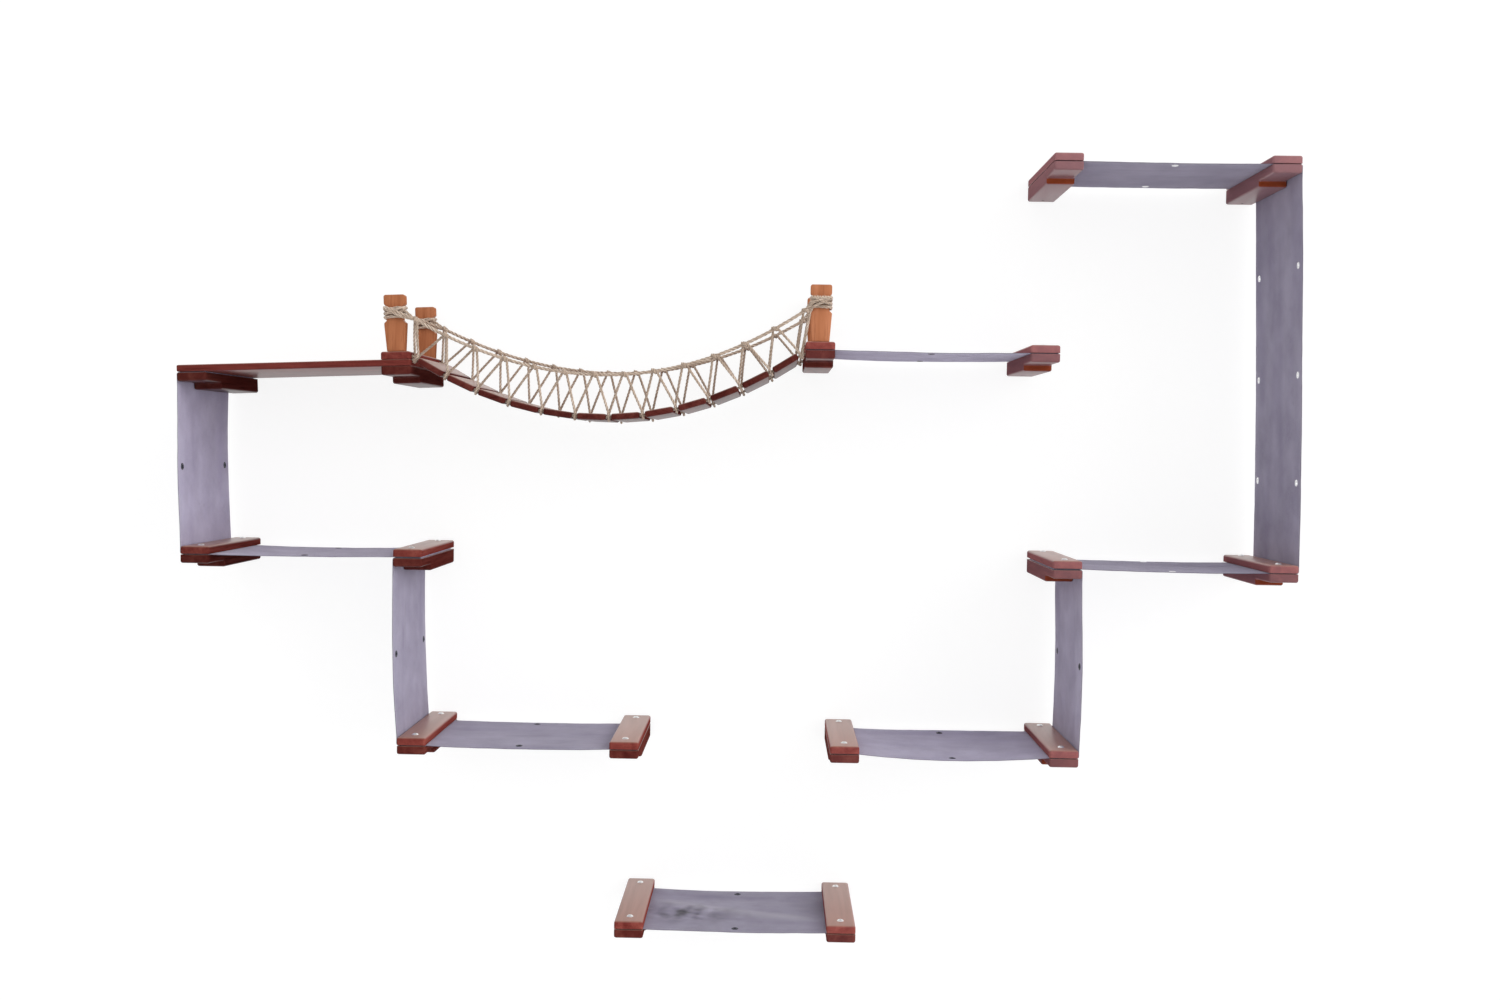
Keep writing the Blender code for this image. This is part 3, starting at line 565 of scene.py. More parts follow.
def rope_material(name, dark, mid, light):
    """Twisted natural fibre: fine fibres along the strands and painted grey shade in the grooves between
    them.
    """
    made = Nodes(name)
    uv = made.add("ShaderNodeUVMap", uv_map="strand").outputs["UV"]
    fibres = made.noise(made.stretched(uv, (260.0, 26.0, 1.0)), 1.0, detail=4, roughness=0.7)
    blotches = made.noise(made.mapped(), 90.0, detail=4)
    color = made.ramp(fibres, ((0.3, dark), (0.5, mid), (0.7, light)))
    color = made.tinted(color, dark, blotches, 0.45, 0.75, 0.0, 0.5)
    # Painted shade in the grooves between the strands
    color = made.mix(made.times(made.attribute("groove"), 0.7), color, GROOVE_SHADE)
    made.feed("Base Color", color)
    made.bump(fibres, 0.9, 0.5 * MM)
    made.set(Roughness=0.9, Sheen_Weight=0.4, Specular_IOR_Level=0.2)
    return made.material


def metal_material(name, color, roughness):
    """Plated metal with fine scratches, a little darker and rougher in them."""
    made = Nodes(name)
    scratches = made.noise(made.mapped((900.0, 900.0, 900.0)), 1.0, detail=3)
    tint = tuple(0.8 * channel for channel in color)
    made.feed("Base Color", made.tinted(color, tint, scratches, 0.4, 0.7, 0.0, 0.6))
    made.feed("Roughness", made.map_range(scratches, 0.3, 0.7, roughness, roughness + 0.15))
    made.set(Metallic=1.0)
    return made.material


def backdrop_material(name):
    """White surface for the light in the room. The camera sees it as white with a faint shadow."""
    made = Nodes(name)
    made.set(Base_Color=(*ROOM_PALE, 1.0), Roughness=0.9, Specular_IOR_Level=0.0)
    path = made.add("ShaderNodeLightPath")
    seen = made.math("MAXIMUM", path.outputs["Is Camera Ray"], path.outputs["Is Glossy Ray"])
    shade = made.add("ShaderNodeBsdfDiffuse")
    shade.inputs["Color"].default_value = (SHADOW_SHARE, SHADOW_SHARE, SHADOW_SHARE, 1.0)
    emission = made.add("ShaderNodeEmission")
    emission.inputs["Strength"].default_value = ROOM_GLOW
    pale = made.add("ShaderNodeAddShader")
    made.link(shade.outputs[0], pale.inputs[0])
    made.link(emission.outputs[0], pale.inputs[1])
    front = made.mixed_shaders(seen, made.shader, pale)
    behind = made.add("ShaderNodeNewGeometry").outputs["Backfacing"]
    sides = made.mixed_shaders(behind, front, made.add("ShaderNodeBsdfTransparent"))
    made.link(sides.outputs[0], made.tree.nodes["Material Output"].inputs["Surface"])
    return made.material


RED = ((0.090, 0.014, 0.012), (0.170, 0.037, 0.030), (0.265, 0.076, 0.058))
ORANGE = ((0.285, 0.095, 0.042), (0.390, 0.148, 0.070), (0.490, 0.205, 0.110))
# Paler colours painted on the wood as glare, up at the right
GLARE_RED = (0.420, 0.240, 0.265)
GLARE_END = (0.400, 0.085, 0.025)
GLARE_ORANGE = (0.520, 0.275, 0.190)
WOOD_ACROSS = wood_material("red_wood_out", "Y", *RED, GLARE_RED)
WOOD_END = wood_material("red_wood_end", "Y", *RED, GLARE_END)
WOOD_ALONG = wood_material("red_wood_along", "X", *RED, GLARE_RED)
POST_WOOD = wood_material("orange_wood_up", "Z", *ORANGE, GLARE_ORANGE)
CANVAS = canvas_material("canvas_weave")
JUTE = rope_material("jute_rope", (0.27, 0.185, 0.130), (0.66, 0.510, 0.395), (0.95, 0.82, 0.71))
FRAYED_JUTE = rope_material("frayed_jute", (0.55, 0.42, 0.31), (0.90, 0.76, 0.62), (1.0, 0.95, 0.86))
STEEL = metal_material("plated_steel", (0.95, 0.95, 0.94), 0.32)
GUNMETAL = metal_material("gunmetal_eyelets", (0.045, 0.045, 0.060), 0.3)
NICKEL = metal_material("nickel_eyelets", (0.94, 0.94, 0.95), 0.25)
DARK_STEEL = metal_material("dark_socket", (0.10, 0.10, 0.10), 0.5)


# Wood


def shares(steps):
    """Even shares from 0 to 1, both included."""
    return [step / steps for step in range(steps + 1)]


def prism(outline, depth, placement):
    """A closed outline pushed out to a depth about its own plane, then placed."""
    shape = bmesh.new()
    corners = [shape.verts.new((right, up, -depth / 2)) for right, up in outline]
    face = shape.faces.new(corners)
    grown = bmesh.ops.extrude_face_region(shape, geom=[face])["geom"]
    moved = [item for item in grown if isinstance(item, bmesh.types.BMVert)]
    bmesh.ops.translate(shape, verts=moved, vec=(0, 0, depth))
    bmesh.ops.recalc_face_normals(shape, faces=shape.faces)
    bmesh.ops.transform(shape, matrix=placement, verts=shape.verts)
    return shape


SIDE_OUTLINE = Matrix(((0, 0, 1, 0), (1, 0, 0, 0), (0, 1, 0, 0), (0, 0, 0, 1)))
FRONT_OUTLINE = Matrix.Rotation(math.radians(90), 4, "X")


def bar_outline(low, high):
    return ((low[0], low[1]), (high[0], low[1]), (high[0], high[1]), (low[0], high[1]))


def rounded(obj, width, steps=BEVEL_STEPS):
    modify(obj, "BEVEL", width=width, segments=steps, limit_method="ANGLE", angle_limit=BEVEL_ANGLE)


def rounded_by(obj, share_of):
    """Rounds each edge by its own share of the outer round, given for the edge's middle."""
    mesh = obj.data
    weights = mesh.attributes.new("bevel_weight_edge", "FLOAT", "EDGE")
    for edge in mesh.edges:
        first, second = (mesh.vertices[number].co for number in edge.vertices)
        weights.data[edge.index].value = share_of((first + second) / 2)
    modify(obj, "BEVEL", width=OUTER_ROUND, segments=BEVEL_STEPS, limit_method="WEIGHT")


def cylinder_cutter(radius, low, high, sides=24):
    """A cylinder between two points, kept only for the Boolean that uses it."""
    low, high = Vector(low), Vector(high)
    shape = bmesh.new()
    turn = (high - low).to_track_quat("Z", "Y").to_matrix().to_4x4()
    bmesh.ops.create_cone(
        shape,
        cap_ends=True,
        segments=sides,
        radius1=radius,
        radius2=radius,
        depth=(high - low).length,
        matrix=Matrix.Translation((low + high) / 2) @ turn,
    )
    return collection_object("cutter", new_mesh("cutter", shape))


def cut(obj, cutters):
    for cutter in cutters:
        modify(obj, "BOOLEAN", object=cutter, solver="EXACT")
    obj = applied(obj)
    for cutter in cutters:
        bpy.data.objects.remove(cutter)
    return obj


def set_tone(obj, tone, painted_glare):
    """Each board's own brightness and how much painted glare pales it, which its wood reads."""
    for name, value in (("tone", tone), ("painted_glare", painted_glare)):
        attribute = obj.data.attributes.new(name, "FLOAT", "POINT")
        attribute.data.foreach_set("value", [value] * len(obj.data.vertices))


def share_between(value, low, high):
    """How far a value lies from low to high, from 0 to 1."""
    return min(max((value - low) / (high - low), 0.0), 1.0)


def set_look(obj, bracket, tones):
    """Darker wood up at the left, plain lower down, and paled by painted glare up at the right."""
    rod, (low, high) = bracket.rod, tones
    share = share_between(rod.x, TONE_FROM, GLARE_FROM)
    if rod.z < LOW_BRACKETS:
        share = max(share, LOW_TONE_SHARE)
    height = share_between(rod.z, LOW_BRACKETS, BRACKETS["high_left"].rod.z)
    painted_glare = share_between(rod.x, GLARE_FROM, GLARE_TO) * (LEAST_GLARE + GLARE_BY_HEIGHT * height)
    set_tone(obj, (low + (high - low) * share) * RNG.uniform(*TONE_SPREAD), painted_glare)


class Bracket:
    """One clamp. Its rod is the middle of its arm, and all its pieces turn about that rod."""

    def __init__(self, name):
        low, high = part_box("arm_" + name)
        self.rod = Vector(((low.x + high.x) / 2, 0, (low.z + high.z) / 2))
        self.tilt = SHELF_TILT if name in ("bridge_left", "shelf_outer") else 0.0
        self.cap = "cap_" + name if "cap_" + name in frame["nodes"] else "shelf_board"
        self.names = ["wood_arm_" + name, "wood_" + self.cap]
        if name == "bridge_left":
            self.cap_low = SEAT_GAP + BOARD_THICK + SEAT_GAP
        elif name == "shelf_outer":
            self.cap_low = SEAT_GAP + LAYER
        else:
            self.cap_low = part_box(self.cap)[0].z - high.z
        self.cap_high = self.cap_low + CAP_THICK

    def placing(self, up=0.0, out=0.0):
        """Puts a shape on the bracket, this far up from the clamp plane and out from the wall."""
        turn = Matrix.Rotation(-self.tilt, 4, "Y")
        return Matrix.Translation(self.rod) @ turn @ Matrix.Translation((0, out, ARM_ROOT_THICK / 2 + up))

    def point(self, aside, up):
        return self.placing(up) @ Vector((aside, 0, 0))

    def on_post(self, point, out):
        """A place given from the foot of the post that stands this far out."""
        return self.placing(self.cap_high + SEAT_GAP, out) @ point


BRACKETS = {node[4:]: Bracket(node[4:]) for node in sorted(frame["nodes"]) if node.startswith("arm_")}

# Sides of the arms and caps that a canvas wraps, so that these edges keep the canvas's own turn
WRAPPED_ARMS = {"high_right": 1, "right_tread_inner": 1, "shelf_outer": -1, "left_tread_inner": -1}
WRAPPED_CAPS = {"right_tread_outer": 1, "right_step_outer": 1, "left_tread_outer": -1, "left_step_outer": -1}


def tie_lines():
    low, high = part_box("plank_01")
    return low.y + ROPE_INSET, high.y - ROPE_INSET


def tie_cutters(way, height):
    """Cutters for the holes that take the deck ropes' ends, in the side of a cap or an arm."""
    inner, outer = way * (HALF_WIDTH - TIE_DEPTH), way * (HALF_WIDTH + TIE_DEPTH)
    return [bore((inner, out, height), (outer, out, height)) for out in tie_lines()]


def bore(start, end):
    return cylinder_cutter(ROPE_BORE_RADIUS, start, end)


def edge_shares(wrapped_side):
    """Share of the outer round for an edge: less at the seam, and the canvas's turn where it is wrapped."""

    def share_of(middle):
        if abs(middle.z) > SEAT_GAP:
            return 1.0
        if wrapped_side * middle.x > HALF_WIDTH - SEAT_GAP:
            return EDGE_ROUND / OUTER_ROUND
        return SEAM_ROUND / OUTER_ROUND

    return share_of


def arm_outline():
    """An arm's side: thin at the tip, and deeper from its shoulder to the wall."""
    return (
        (-ARM_REACH, 0.0),
        (-ARM_REACH, -ARM_TIP_THICK),
        (-ARM_ROOT_REACH, -ARM_TIP_THICK),
        (-ARM_ROOT_REACH, -ARM_ROOT_THICK),
        (0.0, -ARM_ROOT_THICK),
        (0.0, 0.0),
    )


def show_end_grain(arm):
    """Gives the shoulder's face, which is cut across the grain, its own wood."""
    arm.data.materials.append(WOOD_END)
    for face in arm.data.polygons:
        on_shoulder = abs(face.center.y + ARM_ROOT_REACH) < 1 * MM and face.normal.y < -0.7
        face.material_index = 1 if on_shoulder else 0


def make_arms():
    screws = bmesh.new()
    mouth = Vector((0, -SET_SCREW_REACH, -ARM_ROOT_THICK))
    depth = Vector((0, 0, SET_SCREW_DEPTH))
    for name, bracket in BRACKETS.items():
        arm = mesh_object("wood_arm_" + name, prism(arm_outline(), ARM_WIDTH, SIDE_OUTLINE), WOOD_ACROSS)
        rounded_by(arm, edge_shares(WRAPPED_ARMS.get(name, 0)))
        cutters = [cylinder_cutter(SET_SCREW_RADIUS, mouth - depth, mouth + depth)]
        if name == "bridge_right":
            cutters += tie_cutters(-1, -TIE_SEAM_INSET)
        arm = cut(arm, cutters)
        show_end_grain(arm)
        arm.data.transform(bracket.placing())
        smooth(arm)
        set_look(arm, bracket, ARM_TONES)
        place(arm, "wall_frame", "dark_wood", "arm_" + name)
        add_socket_screw(screws, bracket.placing() @ Matrix.Translation(mouth + SCREW_SINK_SHARE * depth))
    heads = mesh_object("set_screws", screws, DARK_STEEL)
    smooth(heads)
    place(heads, "wall_frame", "dark_wood")


def add_socket_screw(shape, placement):
    """A set screw with a six-sided socket in the end that faces down."""
    radius, height = SET_SCREW_RADIUS - SCREW_CLEAR, SCREW_HEIGHT
    profile = (
        (PROFILE_START, -0.2 * height),
        (-0.5 * radius, -0.2 * height),
        (-0.5 * radius, -height),
        (0.85 * radius, -height),
        (radius, -0.85 * height),
        (radius, 0.4 * height),
        (PROFILE_START, 0.4 * height),
    )
    lathe(shape, profile, placement, capped=True)
    bmesh.ops.recalc_face_normals(shape, faces=shape.faces)


def hexagon_reach(flat, angle):
    """How far a hexagon with this half width across flats reaches at an angle."""
    sector = math.radians(60)
    return flat / math.cos((angle % sector) - sector / 2)


def band(shape, before, ring):
    """The faces between two rings of corners, in order."""
    corners = zip(before, before[1:] + before[:1], ring[1:] + ring[:1], ring)
    return [shape.faces.new(face) for face in corners]


def tube(shape, rings):
    """Closes a tube over its rings of corners, and gives the faces of each of its bands."""
    shape.faces.new(list(reversed(rings[0])))
    bands = [band(shape, before, ring) for before, ring in zip(rings, rings[1:])]
    shape.faces.new(rings[-1])
    return bands


def lathe(shape, profile, placement, sides=40, capped=False):
    """Turns a profile of (radius, height) pairs about the placement's Z. A negative radius is a hexagon."""
    rings = []
    for radius, height in profile:
        ring = []
        for step in range(sides):
            angle = 2 * math.pi * step / sides
            reach = hexagon_reach(-radius, angle) if radius < 0 else radius
            corner = Vector((reach * math.cos(angle), reach * math.sin(angle), height))
            ring.append(shape.verts.new(placement @ corner))
        if rings:
            band(shape, rings[-1], ring)
        rings.append(ring)
    if capped:
        shape.faces.new(rings[0])
        shape.faces.new(rings[-1])


def button_head_profile():
    """A button-head bolt from its socket's floor out over the crown and down to the wood."""
    return (
        (PROFILE_START, SOCKET_FLOOR),
        (-SOCKET_RADIUS, SOCKET_FLOOR),
        (-SOCKET_RADIUS, BOLT_RISE - 0.15 * MM),
        (2.5 * MM, BOLT_RISE),
        (3.6 * MM, BOLT_RISE - 0.25 * MM),
        (4.7 * MM, BOLT_RISE - 0.8 * MM),
        (5.5 * MM, BOLT_RISE - 1.5 * MM),
        (BOLT_RADIUS, 0.2 * MM),
        (BOLT_RADIUS, -0.6 * MM),
    )


def make_caps():
    bolts = bmesh.new()
    outline = bar_outline((-ARM_REACH, 0.0), (0.0, CAP_THICK))
    for name, bracket in BRACKETS.items():
        if bracket.cap == "shelf_board":
            continue
        cap = mesh_object("wood_" + bracket.cap, prism(outline, ARM_WIDTH, SIDE_OUTLINE), WOOD_ACROSS)
        rounded_by(cap, edge_shares(WRAPPED_CAPS.get(name, 0)))
        if name == "bridge_left":
            cap = cut(cap, tie_cutters(1, TIE_SEAM_INSET))
        else:
            cap = applied(cap)
        cap.data.transform(bracket.placing(bracket.cap_low))
        smooth(cap)
        set_look(cap, bracket, CAP_TONES)
        place(cap, "wall_frame", "dark_wood", bracket.cap)
        with_posts = "bridge" in name
        tip_inset, wall_inset = (BOLT_POST_INSET,) * 2 if with_posts else (BOLT_TIP_INSET, BOLT_WALL_INSET)
        for out in (tip_inset - ARM_REACH, -wall_inset):
            turn = Matrix.Rotation(RNG.uniform(0, math.pi), 4, "Z")
            lathe(bolts, button_head_profile(), bracket.placing(bracket.cap_high, out) @ turn, capped=True)
    bmesh.ops.recalc_face_normals(bolts, faces=bolts.faces)
    heads = mesh_object("clamp_bolts", bolts, STEEL)
    smooth(heads, 40)
    place(heads, "wall_frame", "dark_wood")


def make_board():
    bracket = BRACKETS["bridge_left"]
    outline = bar_outline((-ARM_REACH, 0.0), (0.0, BOARD_THICK))
    middle = Matrix.Translation((-SHELF_PITCH / 2, 0, 0))
    shape = prism(outline, SHELF_PITCH + ARM_WIDTH, middle @ SIDE_OUTLINE)
    board = mesh_object("wood_shelf_board", shape, WOOD_ALONG)
    rounded(board, EDGE_ROUND)
    board = applied(board)
    board.data.transform(bracket.placing(SEAT_GAP))
    smooth(board)
    set_look(board, bracket, CAP_TONES)
    place(board, "wall_frame", "dark_wood", "shelf_board")


def post_outline():
    right = [
        (POST_FOOT_WIDTH / 2, 0.0),
        (POST_BODY_WIDTH / 2, POST_BODY_HIGH),
        (POST_NECK_WIDTH / 2, POST_NECK_LOW),
        (POST_NECK_WIDTH / 2, POST_NECK_HIGH),
        (POST_HEAD_WIDTH / 2, POST_HEAD_LOW),
    ]
    for share in shares(ARC_STEPS):
        angle = math.radians(90) * share
        reach = POST_HEAD_WIDTH / 2 - POST_TOP_ROUND * (1 - math.cos(angle))
        right.append((reach, POST_HEIGHT - POST_TOP_ROUND * (1 - math.sin(angle))))
    return right + [(-reach, up) for reach, up in reversed(right)]


def post_line(side, place_name):
    """How far out a post stands."""
    low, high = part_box(f"post_bridge_{side}_{place_name}")
    return (low.y + high.y) / 2


def make_posts():
    for side in ("left", "right"):
        bracket = BRACKETS["bridge_" + side]
        for place_name in ("front", "back"):
            node = f"post_bridge_{side}_{place_name}"
            post = mesh_object("wood_" + node, prism(post_outline(), POST_THICK, FRONT_OUTLINE), POST_WOOD)
            rounded(post, POST_EDGE_ROUND, 3)
            post = applied(post)
            post.data.transform(bracket.placing(bracket.cap_high + SEAT_GAP, post_line(side, place_name)))
            smooth(post)
            set_look(post, bracket, POST_TONES)
            place(post, "wall_frame", "post_wood", node)


def planks():
    return sorted(node for node in frame["nodes"] if node.startswith("plank_"))


def rope_tie(side, inward=0.0):
    """Where the deck ropes enter the left cap or the right arm, or a place further in."""
    bracket = BRACKETS["bridge_" + side]
    if side == "left":
        return bracket.point(HALF_WIDTH - inward, bracket.cap_low + TIE_SEAM_INSET)
    return bracket.point(inward - HALF_WIDTH, -TIE_SEAM_INSET)


def deck_joints():
    """Points on the deck ropes' line between the planks, from the left tie on."""
    joints = [rope_tie("left") + Vector((DECK_LEFT_GAP, 0, -DECK_LEFT_DROP))]
    for node in planks():
        low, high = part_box(node)
        joint = low + high - joints[-1]
        joints.append(Vector((joint.x, 0, joint.z)))
    return joints


def make_planks(joints):
    for index, node in enumerate(planks()):
        low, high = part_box(node)
        along = joints[index + 1] - joints[index]
        shape = bmesh.new()
        bmesh.ops.create_cube(shape, size=1)
        bmesh.ops.scale(shape, vec=(PLANK_WIDTH, high.y - low.y, PLANK_THICK), verts=shape.verts)
        plank = mesh_object("wood_" + node, shape, WOOD_ACROSS)
        rounded(plank, PLANK_ROUND)
        reach = (high.y - low.y) / 2 - ROPE_INSET
        plank = cut(plank, [bore((-PLANK_WIDTH, out, 0), (PLANK_WIDTH, out, 0)) for out in (-reach, reach)])
        turn = Matrix.Rotation(-math.atan2(along.z, along.x), 4, "Y")
        plank.data.transform(Matrix.Translation((low + high) / 2) @ turn)
        smooth(plank)
        set_tone(plank, RNG.uniform(*PLANK_TONES), 0.0)
        place(plank, node.replace("plank", "deck"), "dark_wood", node)


# Canvas


def layer_height(layer=0):
    return SEAT_GAP + CANVAS_THICK / 2 + layer * LAYER


def arc(bracket, way, up, start, end):
    """The canvas's turn round a bracket's edge on one side. The turn's centre is this far up."""
    radius = EDGE_ROUND + SEAT_GAP + CANVAS_THICK / 2
    points = []
    for step in range(ARC_STEPS + 1):
        angle = math.radians(start + (end - start) * step / ARC_STEPS)
        reach = HALF_WIDTH - EDGE_ROUND + radius * math.cos(angle)
        points.append(bracket.point(way * reach, up + radius * math.sin(angle)))
    return points


def across(first, second, way, sag, second_layer=0):
    """Free stretch from one clamp to the next, as points from edge to edge."""
    start = first.point(way * HALF_WIDTH, layer_height())
    end = second.point(-way * HALF_WIDTH, layer_height(second_layer))
    points = []
    for share in shares(SPAN_STEPS):
        point = start.lerp(end, share)
        point.z -= 4 * sag * share * (1 - share)
        points.append(point)
    return points


def drop(upper, lower, way):
    """Over the upper arm's edge, down, and in under the lower cap."""
    hang = HALF_WIDTH + SEAT_GAP + CANVAS_THICK / 2
    points = arc(upper, way, -EDGE_ROUND, 90, 0)
    start = upper.point(way * hang, -ARM_ROOT_THICK)
    end = lower.point(way * hang, lower.cap_high)
    for share in shares(SPAN_STEPS):
        point = start.lerp(end, share)
        point.x += way * DROP_BULGE * math.sin(math.pi * share)
        points.append(point)
    points += arc(lower, way, lower.cap_low + EDGE_ROUND, 0, -90)
    return points


def tongue(bracket, way, layer=0):
    return [bracket.point(way * (HALF_WIDTH - TONGUE_INSET), layer_height(layer))]


def lengths_along(points):
    """Each point's length along the line through them."""
    lengths = [0.0]
    for before, after in zip(points, points[1:]):
        lengths.append(lengths[-1] + (after - before).length)
    return lengths


def resampled(points, step):
    """The same line with points an even step apart, and its length."""
    lengths = lengths_along(points)
    count = max(2, round(lengths[-1] / step))
    found, segment = [], 0
    for index in range(count + 1):
        target = lengths[-1] * index / count
        while segment < len(points) - 2 and lengths[segment + 1] < target:
            segment += 1
        span = max(lengths[segment + 1] - lengths[segment], 1e-12)
        found.append(points[segment].lerp(points[segment + 1], (target - lengths[segment]) / span))
    return found, lengths[-1]


def wrinkle(seed, along, out, free, creased):
    """How far the cloth stands off its plain sheet: soft folds along it, small dents, and creases."""
    height = 0.0
    for out_scale, along_scale, start, size in FOLDS:
        height += size * noise.noise(Vector((out * out_scale, along * along_scale, start + seed)))
    height = free * height * MM
    if creased:
        rumples = noise.noise(Vector((out * RUMPLE_SCALE, along * RUMPLE_SCALE, 1.9)))
        height += free * (crease_height(along, out) + RUMPLE_HEIGHT * rumpled(along, out) * rumples)
    return height


def fold_shares(along, out):
    """A place on the low sling as shares of its length from the left and of its width from the wall."""
    return along / LOW_SLING_LENGTH, -out / ARM_REACH


def crease_height(along, out):
    """Soft ridge of a sheet that was packed folded, from its back left corner to its front right one."""
    right, front = fold_shares(along, out)
    gap = (front - RIDGE_START_SHARE - RIDGE_SLOPE_SHARE * right) / RIDGE_WIDTH_SHARE
    return RIDGE_HEIGHT * math.exp(-gap * gap)


def spread_about(places, along, out):
    """1 in the middle of a place on the low sling, fading outwards. It is given as (middle, width) pairs."""
    gaps = [(share - middle) / width for share, (middle, width) in zip(fold_shares(along, out), places)]
    return math.exp(-sum(gap**2 for gap in gaps))


def rumpled(along, out):
    """How rumpled the low sling is: most left of its middle, in front of the ridge."""
    return spread_about(RUMPLED_SHARES, along, out)


def shaded(along, out):
    """Painted shade on the low sling: in its rumpled place and at its right end behind the ridge."""
    spots = LEAST_SHADE + SPOT_SHADE * noise.noise(Vector((along * 60, out * 60, 5.5)))
    return 1.0 - rumpled(along, out) * spots - CORNER_SHADE * spread_about(CORNER_SHARES, along, out)


def worn(along, out, edge, creased):
    """Paler where the cloth was folded and along its edges."""
    amount = EDGE_WEAR * math.exp(-((edge / WORN_EDGE) ** 2))
    if creased:
        amount += RIDGE_WEAR * crease_height(along, out) / RIDGE_HEIGHT
    return min(amount, 1.0)


def freedom(point, stretches):
    """0 where the cloth is clamped or lies on wood, rising to 1 out on a free stretch."""
    best = 0.0
    for start, end in stretches:
        span = end - start
        share = (point - start).dot(span) / span.length_squared
        off = (point - start - span * share).length
        if 0 < share < 1 and off < STRETCH_REACH:
            reach = min(share, 1 - share) * span.length
            best = max(best, min(1.0, max(0.0, (reach - STILL_EDGE) / FREE_RISE)))
    return best


class Sheet:
    """A strip's middle surface: its line as seen from the front, with soft folds and a level back edge."""

    def __init__(self, name, points, stretches, creased, level_back):
        self.low, self.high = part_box(name)
        self.line, self.length = resampled(points, CLOTH_STEP / 2)
        self.stretches, self.creased, self.level_back = stretches, creased, level_back
        self.seed = 3.7 * len(name) + 11.3 * ord(name[-1]) / 100

    def along(self, index):
        return self.length * index / (len(self.line) - 1)

    def normal(self, index):
        before, after = self.line[max(index - 1, 0)], self.line[min(index + 1, len(self.line) - 1)]
        tangent = (after - before).normalized()
        return Vector((-tangent.z, 0, tangent.x))

    def free(self, index):
        return freedom(self.line[index], self.stretches)

    def spot(self, index, out):
        """The place of the surface at one point of the line, this far out from the wall."""
        lift = wrinkle(self.seed, self.along(index), out, self.free(index), self.creased)
        spot = self.line[index] + self.normal(index) * lift + Vector((0, out, 0))
        if self.level_back:
            share = (out - self.low.y) / (self.high.y - self.low.y)
            spot.z += sunk(self.line[index], *self.level_back) * LEVEL_BACK_SHARE * share * share
        return spot

    def worn(self, index, out):
        edge = min(out - self.low.y, self.high.y - out)
        return self.free(index) * worn(self.along(index), out, edge, self.creased)

    def upright(self, index, out):
        """The surface's own normal, from its neighbouring places."""
        along = self.spot(index + 1, out) - self.spot(index - 1, out)
        outward = self.spot(index, out + 2 * MM) - self.spot(index, out - 2 * MM)
        return outward.cross(along).normalized()


def sunk(point, start, end):
    """How far a point of a free stretch hangs below the straight line between its ends."""
    share = (point.x - start.x) / (end.x - start.x)
    if not 0 < share < 1:
        return 0.0
    return max(0.0, start.z + (end.z - start.z) * share - point.z)


def woven(sheet, tone):
    """The sheet's mesh, with its own lengths as UV, and its worn places, painted light and painted shade as
    attributes.
    """
    shape = bmesh.new()
    uv_layer = shape.loops.layers.uv.new("cloth")
    crease_layer = shape.verts.layers.float.new("crease")
    tone_layer = shape.verts.layers.float.new("tone")
    width = sheet.high.y - sheet.low.y
    steps = [width * share for share in shares(round(width / CLOTH_STEP))]
    rows = []
    for index in range(len(sheet.line)):
        along = sheet.along(index)
        row = []
        for step in steps:
            out = sheet.low.y + step
            vertex = shape.verts.new(sheet.spot(index, out))
            vertex[crease_layer] = sheet.worn(index, out)
            vertex[tone_layer] = tone * (shaded(along, out) if sheet.creased else 1.0)
            row.append((vertex, along, step))
        rows.append(row)
    for row, next_row in zip(rows, rows[1:]):
        for first, second, third, fourth in zip(row, row[1:], next_row[1:], next_row):
            corners = (first, second, third, fourth)
            face = shape.faces.new([vertex for vertex, _, _ in corners])
            for loop, (_, along, step) in zip(face.loops, corners):
                loop[uv_layer].uv = (along, step)
    return shape


def make_canvas(
    name, points, stretches, eyelets, rests_on, creased=False, level_back=None, metal=GUNMETAL
):
    """A strip of canvas as a woven sheet with soft folds and an eyelet pair at each place."""
    sheet = Sheet(name, points, stretches, creased, level_back)
    cloth = mesh_object("cloth_" + name, woven(sheet, CANVAS_PAINTED_LIGHT[name]), CANVAS)
    modify(cloth, "SOLIDIFY", thickness=CANVAS_THICK * CLOTH_THICK_SHARE, offset=0)
    cloth = applied(cloth)
    rings = bmesh.new()
    cutters = []
    for at in eyelets:
        index = min(range(len(sheet.line)), key=lambda i: (sheet.line[i] - at).length)
        for out in (sheet.low.y + EYELET_INSET, sheet.high.y - EYELET_INSET):
            middle, normal = sheet.spot(index, out), sheet.upright(index, out)
            reach = normal * EYELET_OUTER
            cutters.append(cylinder_cutter(EYELET_HOLE, middle - reach, middle + reach))
            turn = normal.to_track_quat("Z", "Y").to_matrix().to_4x4()
            lathe(rings, eyelet_profile(), Matrix.Translation(middle) @ turn)
    cloth = cut(cloth, cutters)
    smooth(cloth, 50)
    bmesh.ops.recalc_face_normals(rings, faces=rings.faces)
    eyes = mesh_object("eyelets_" + name, rings, metal)
    smooth(eyes, 50)
    place(eyes, "wall_frame", "canvas")
    place(cloth, "wall_frame", "canvas", name)


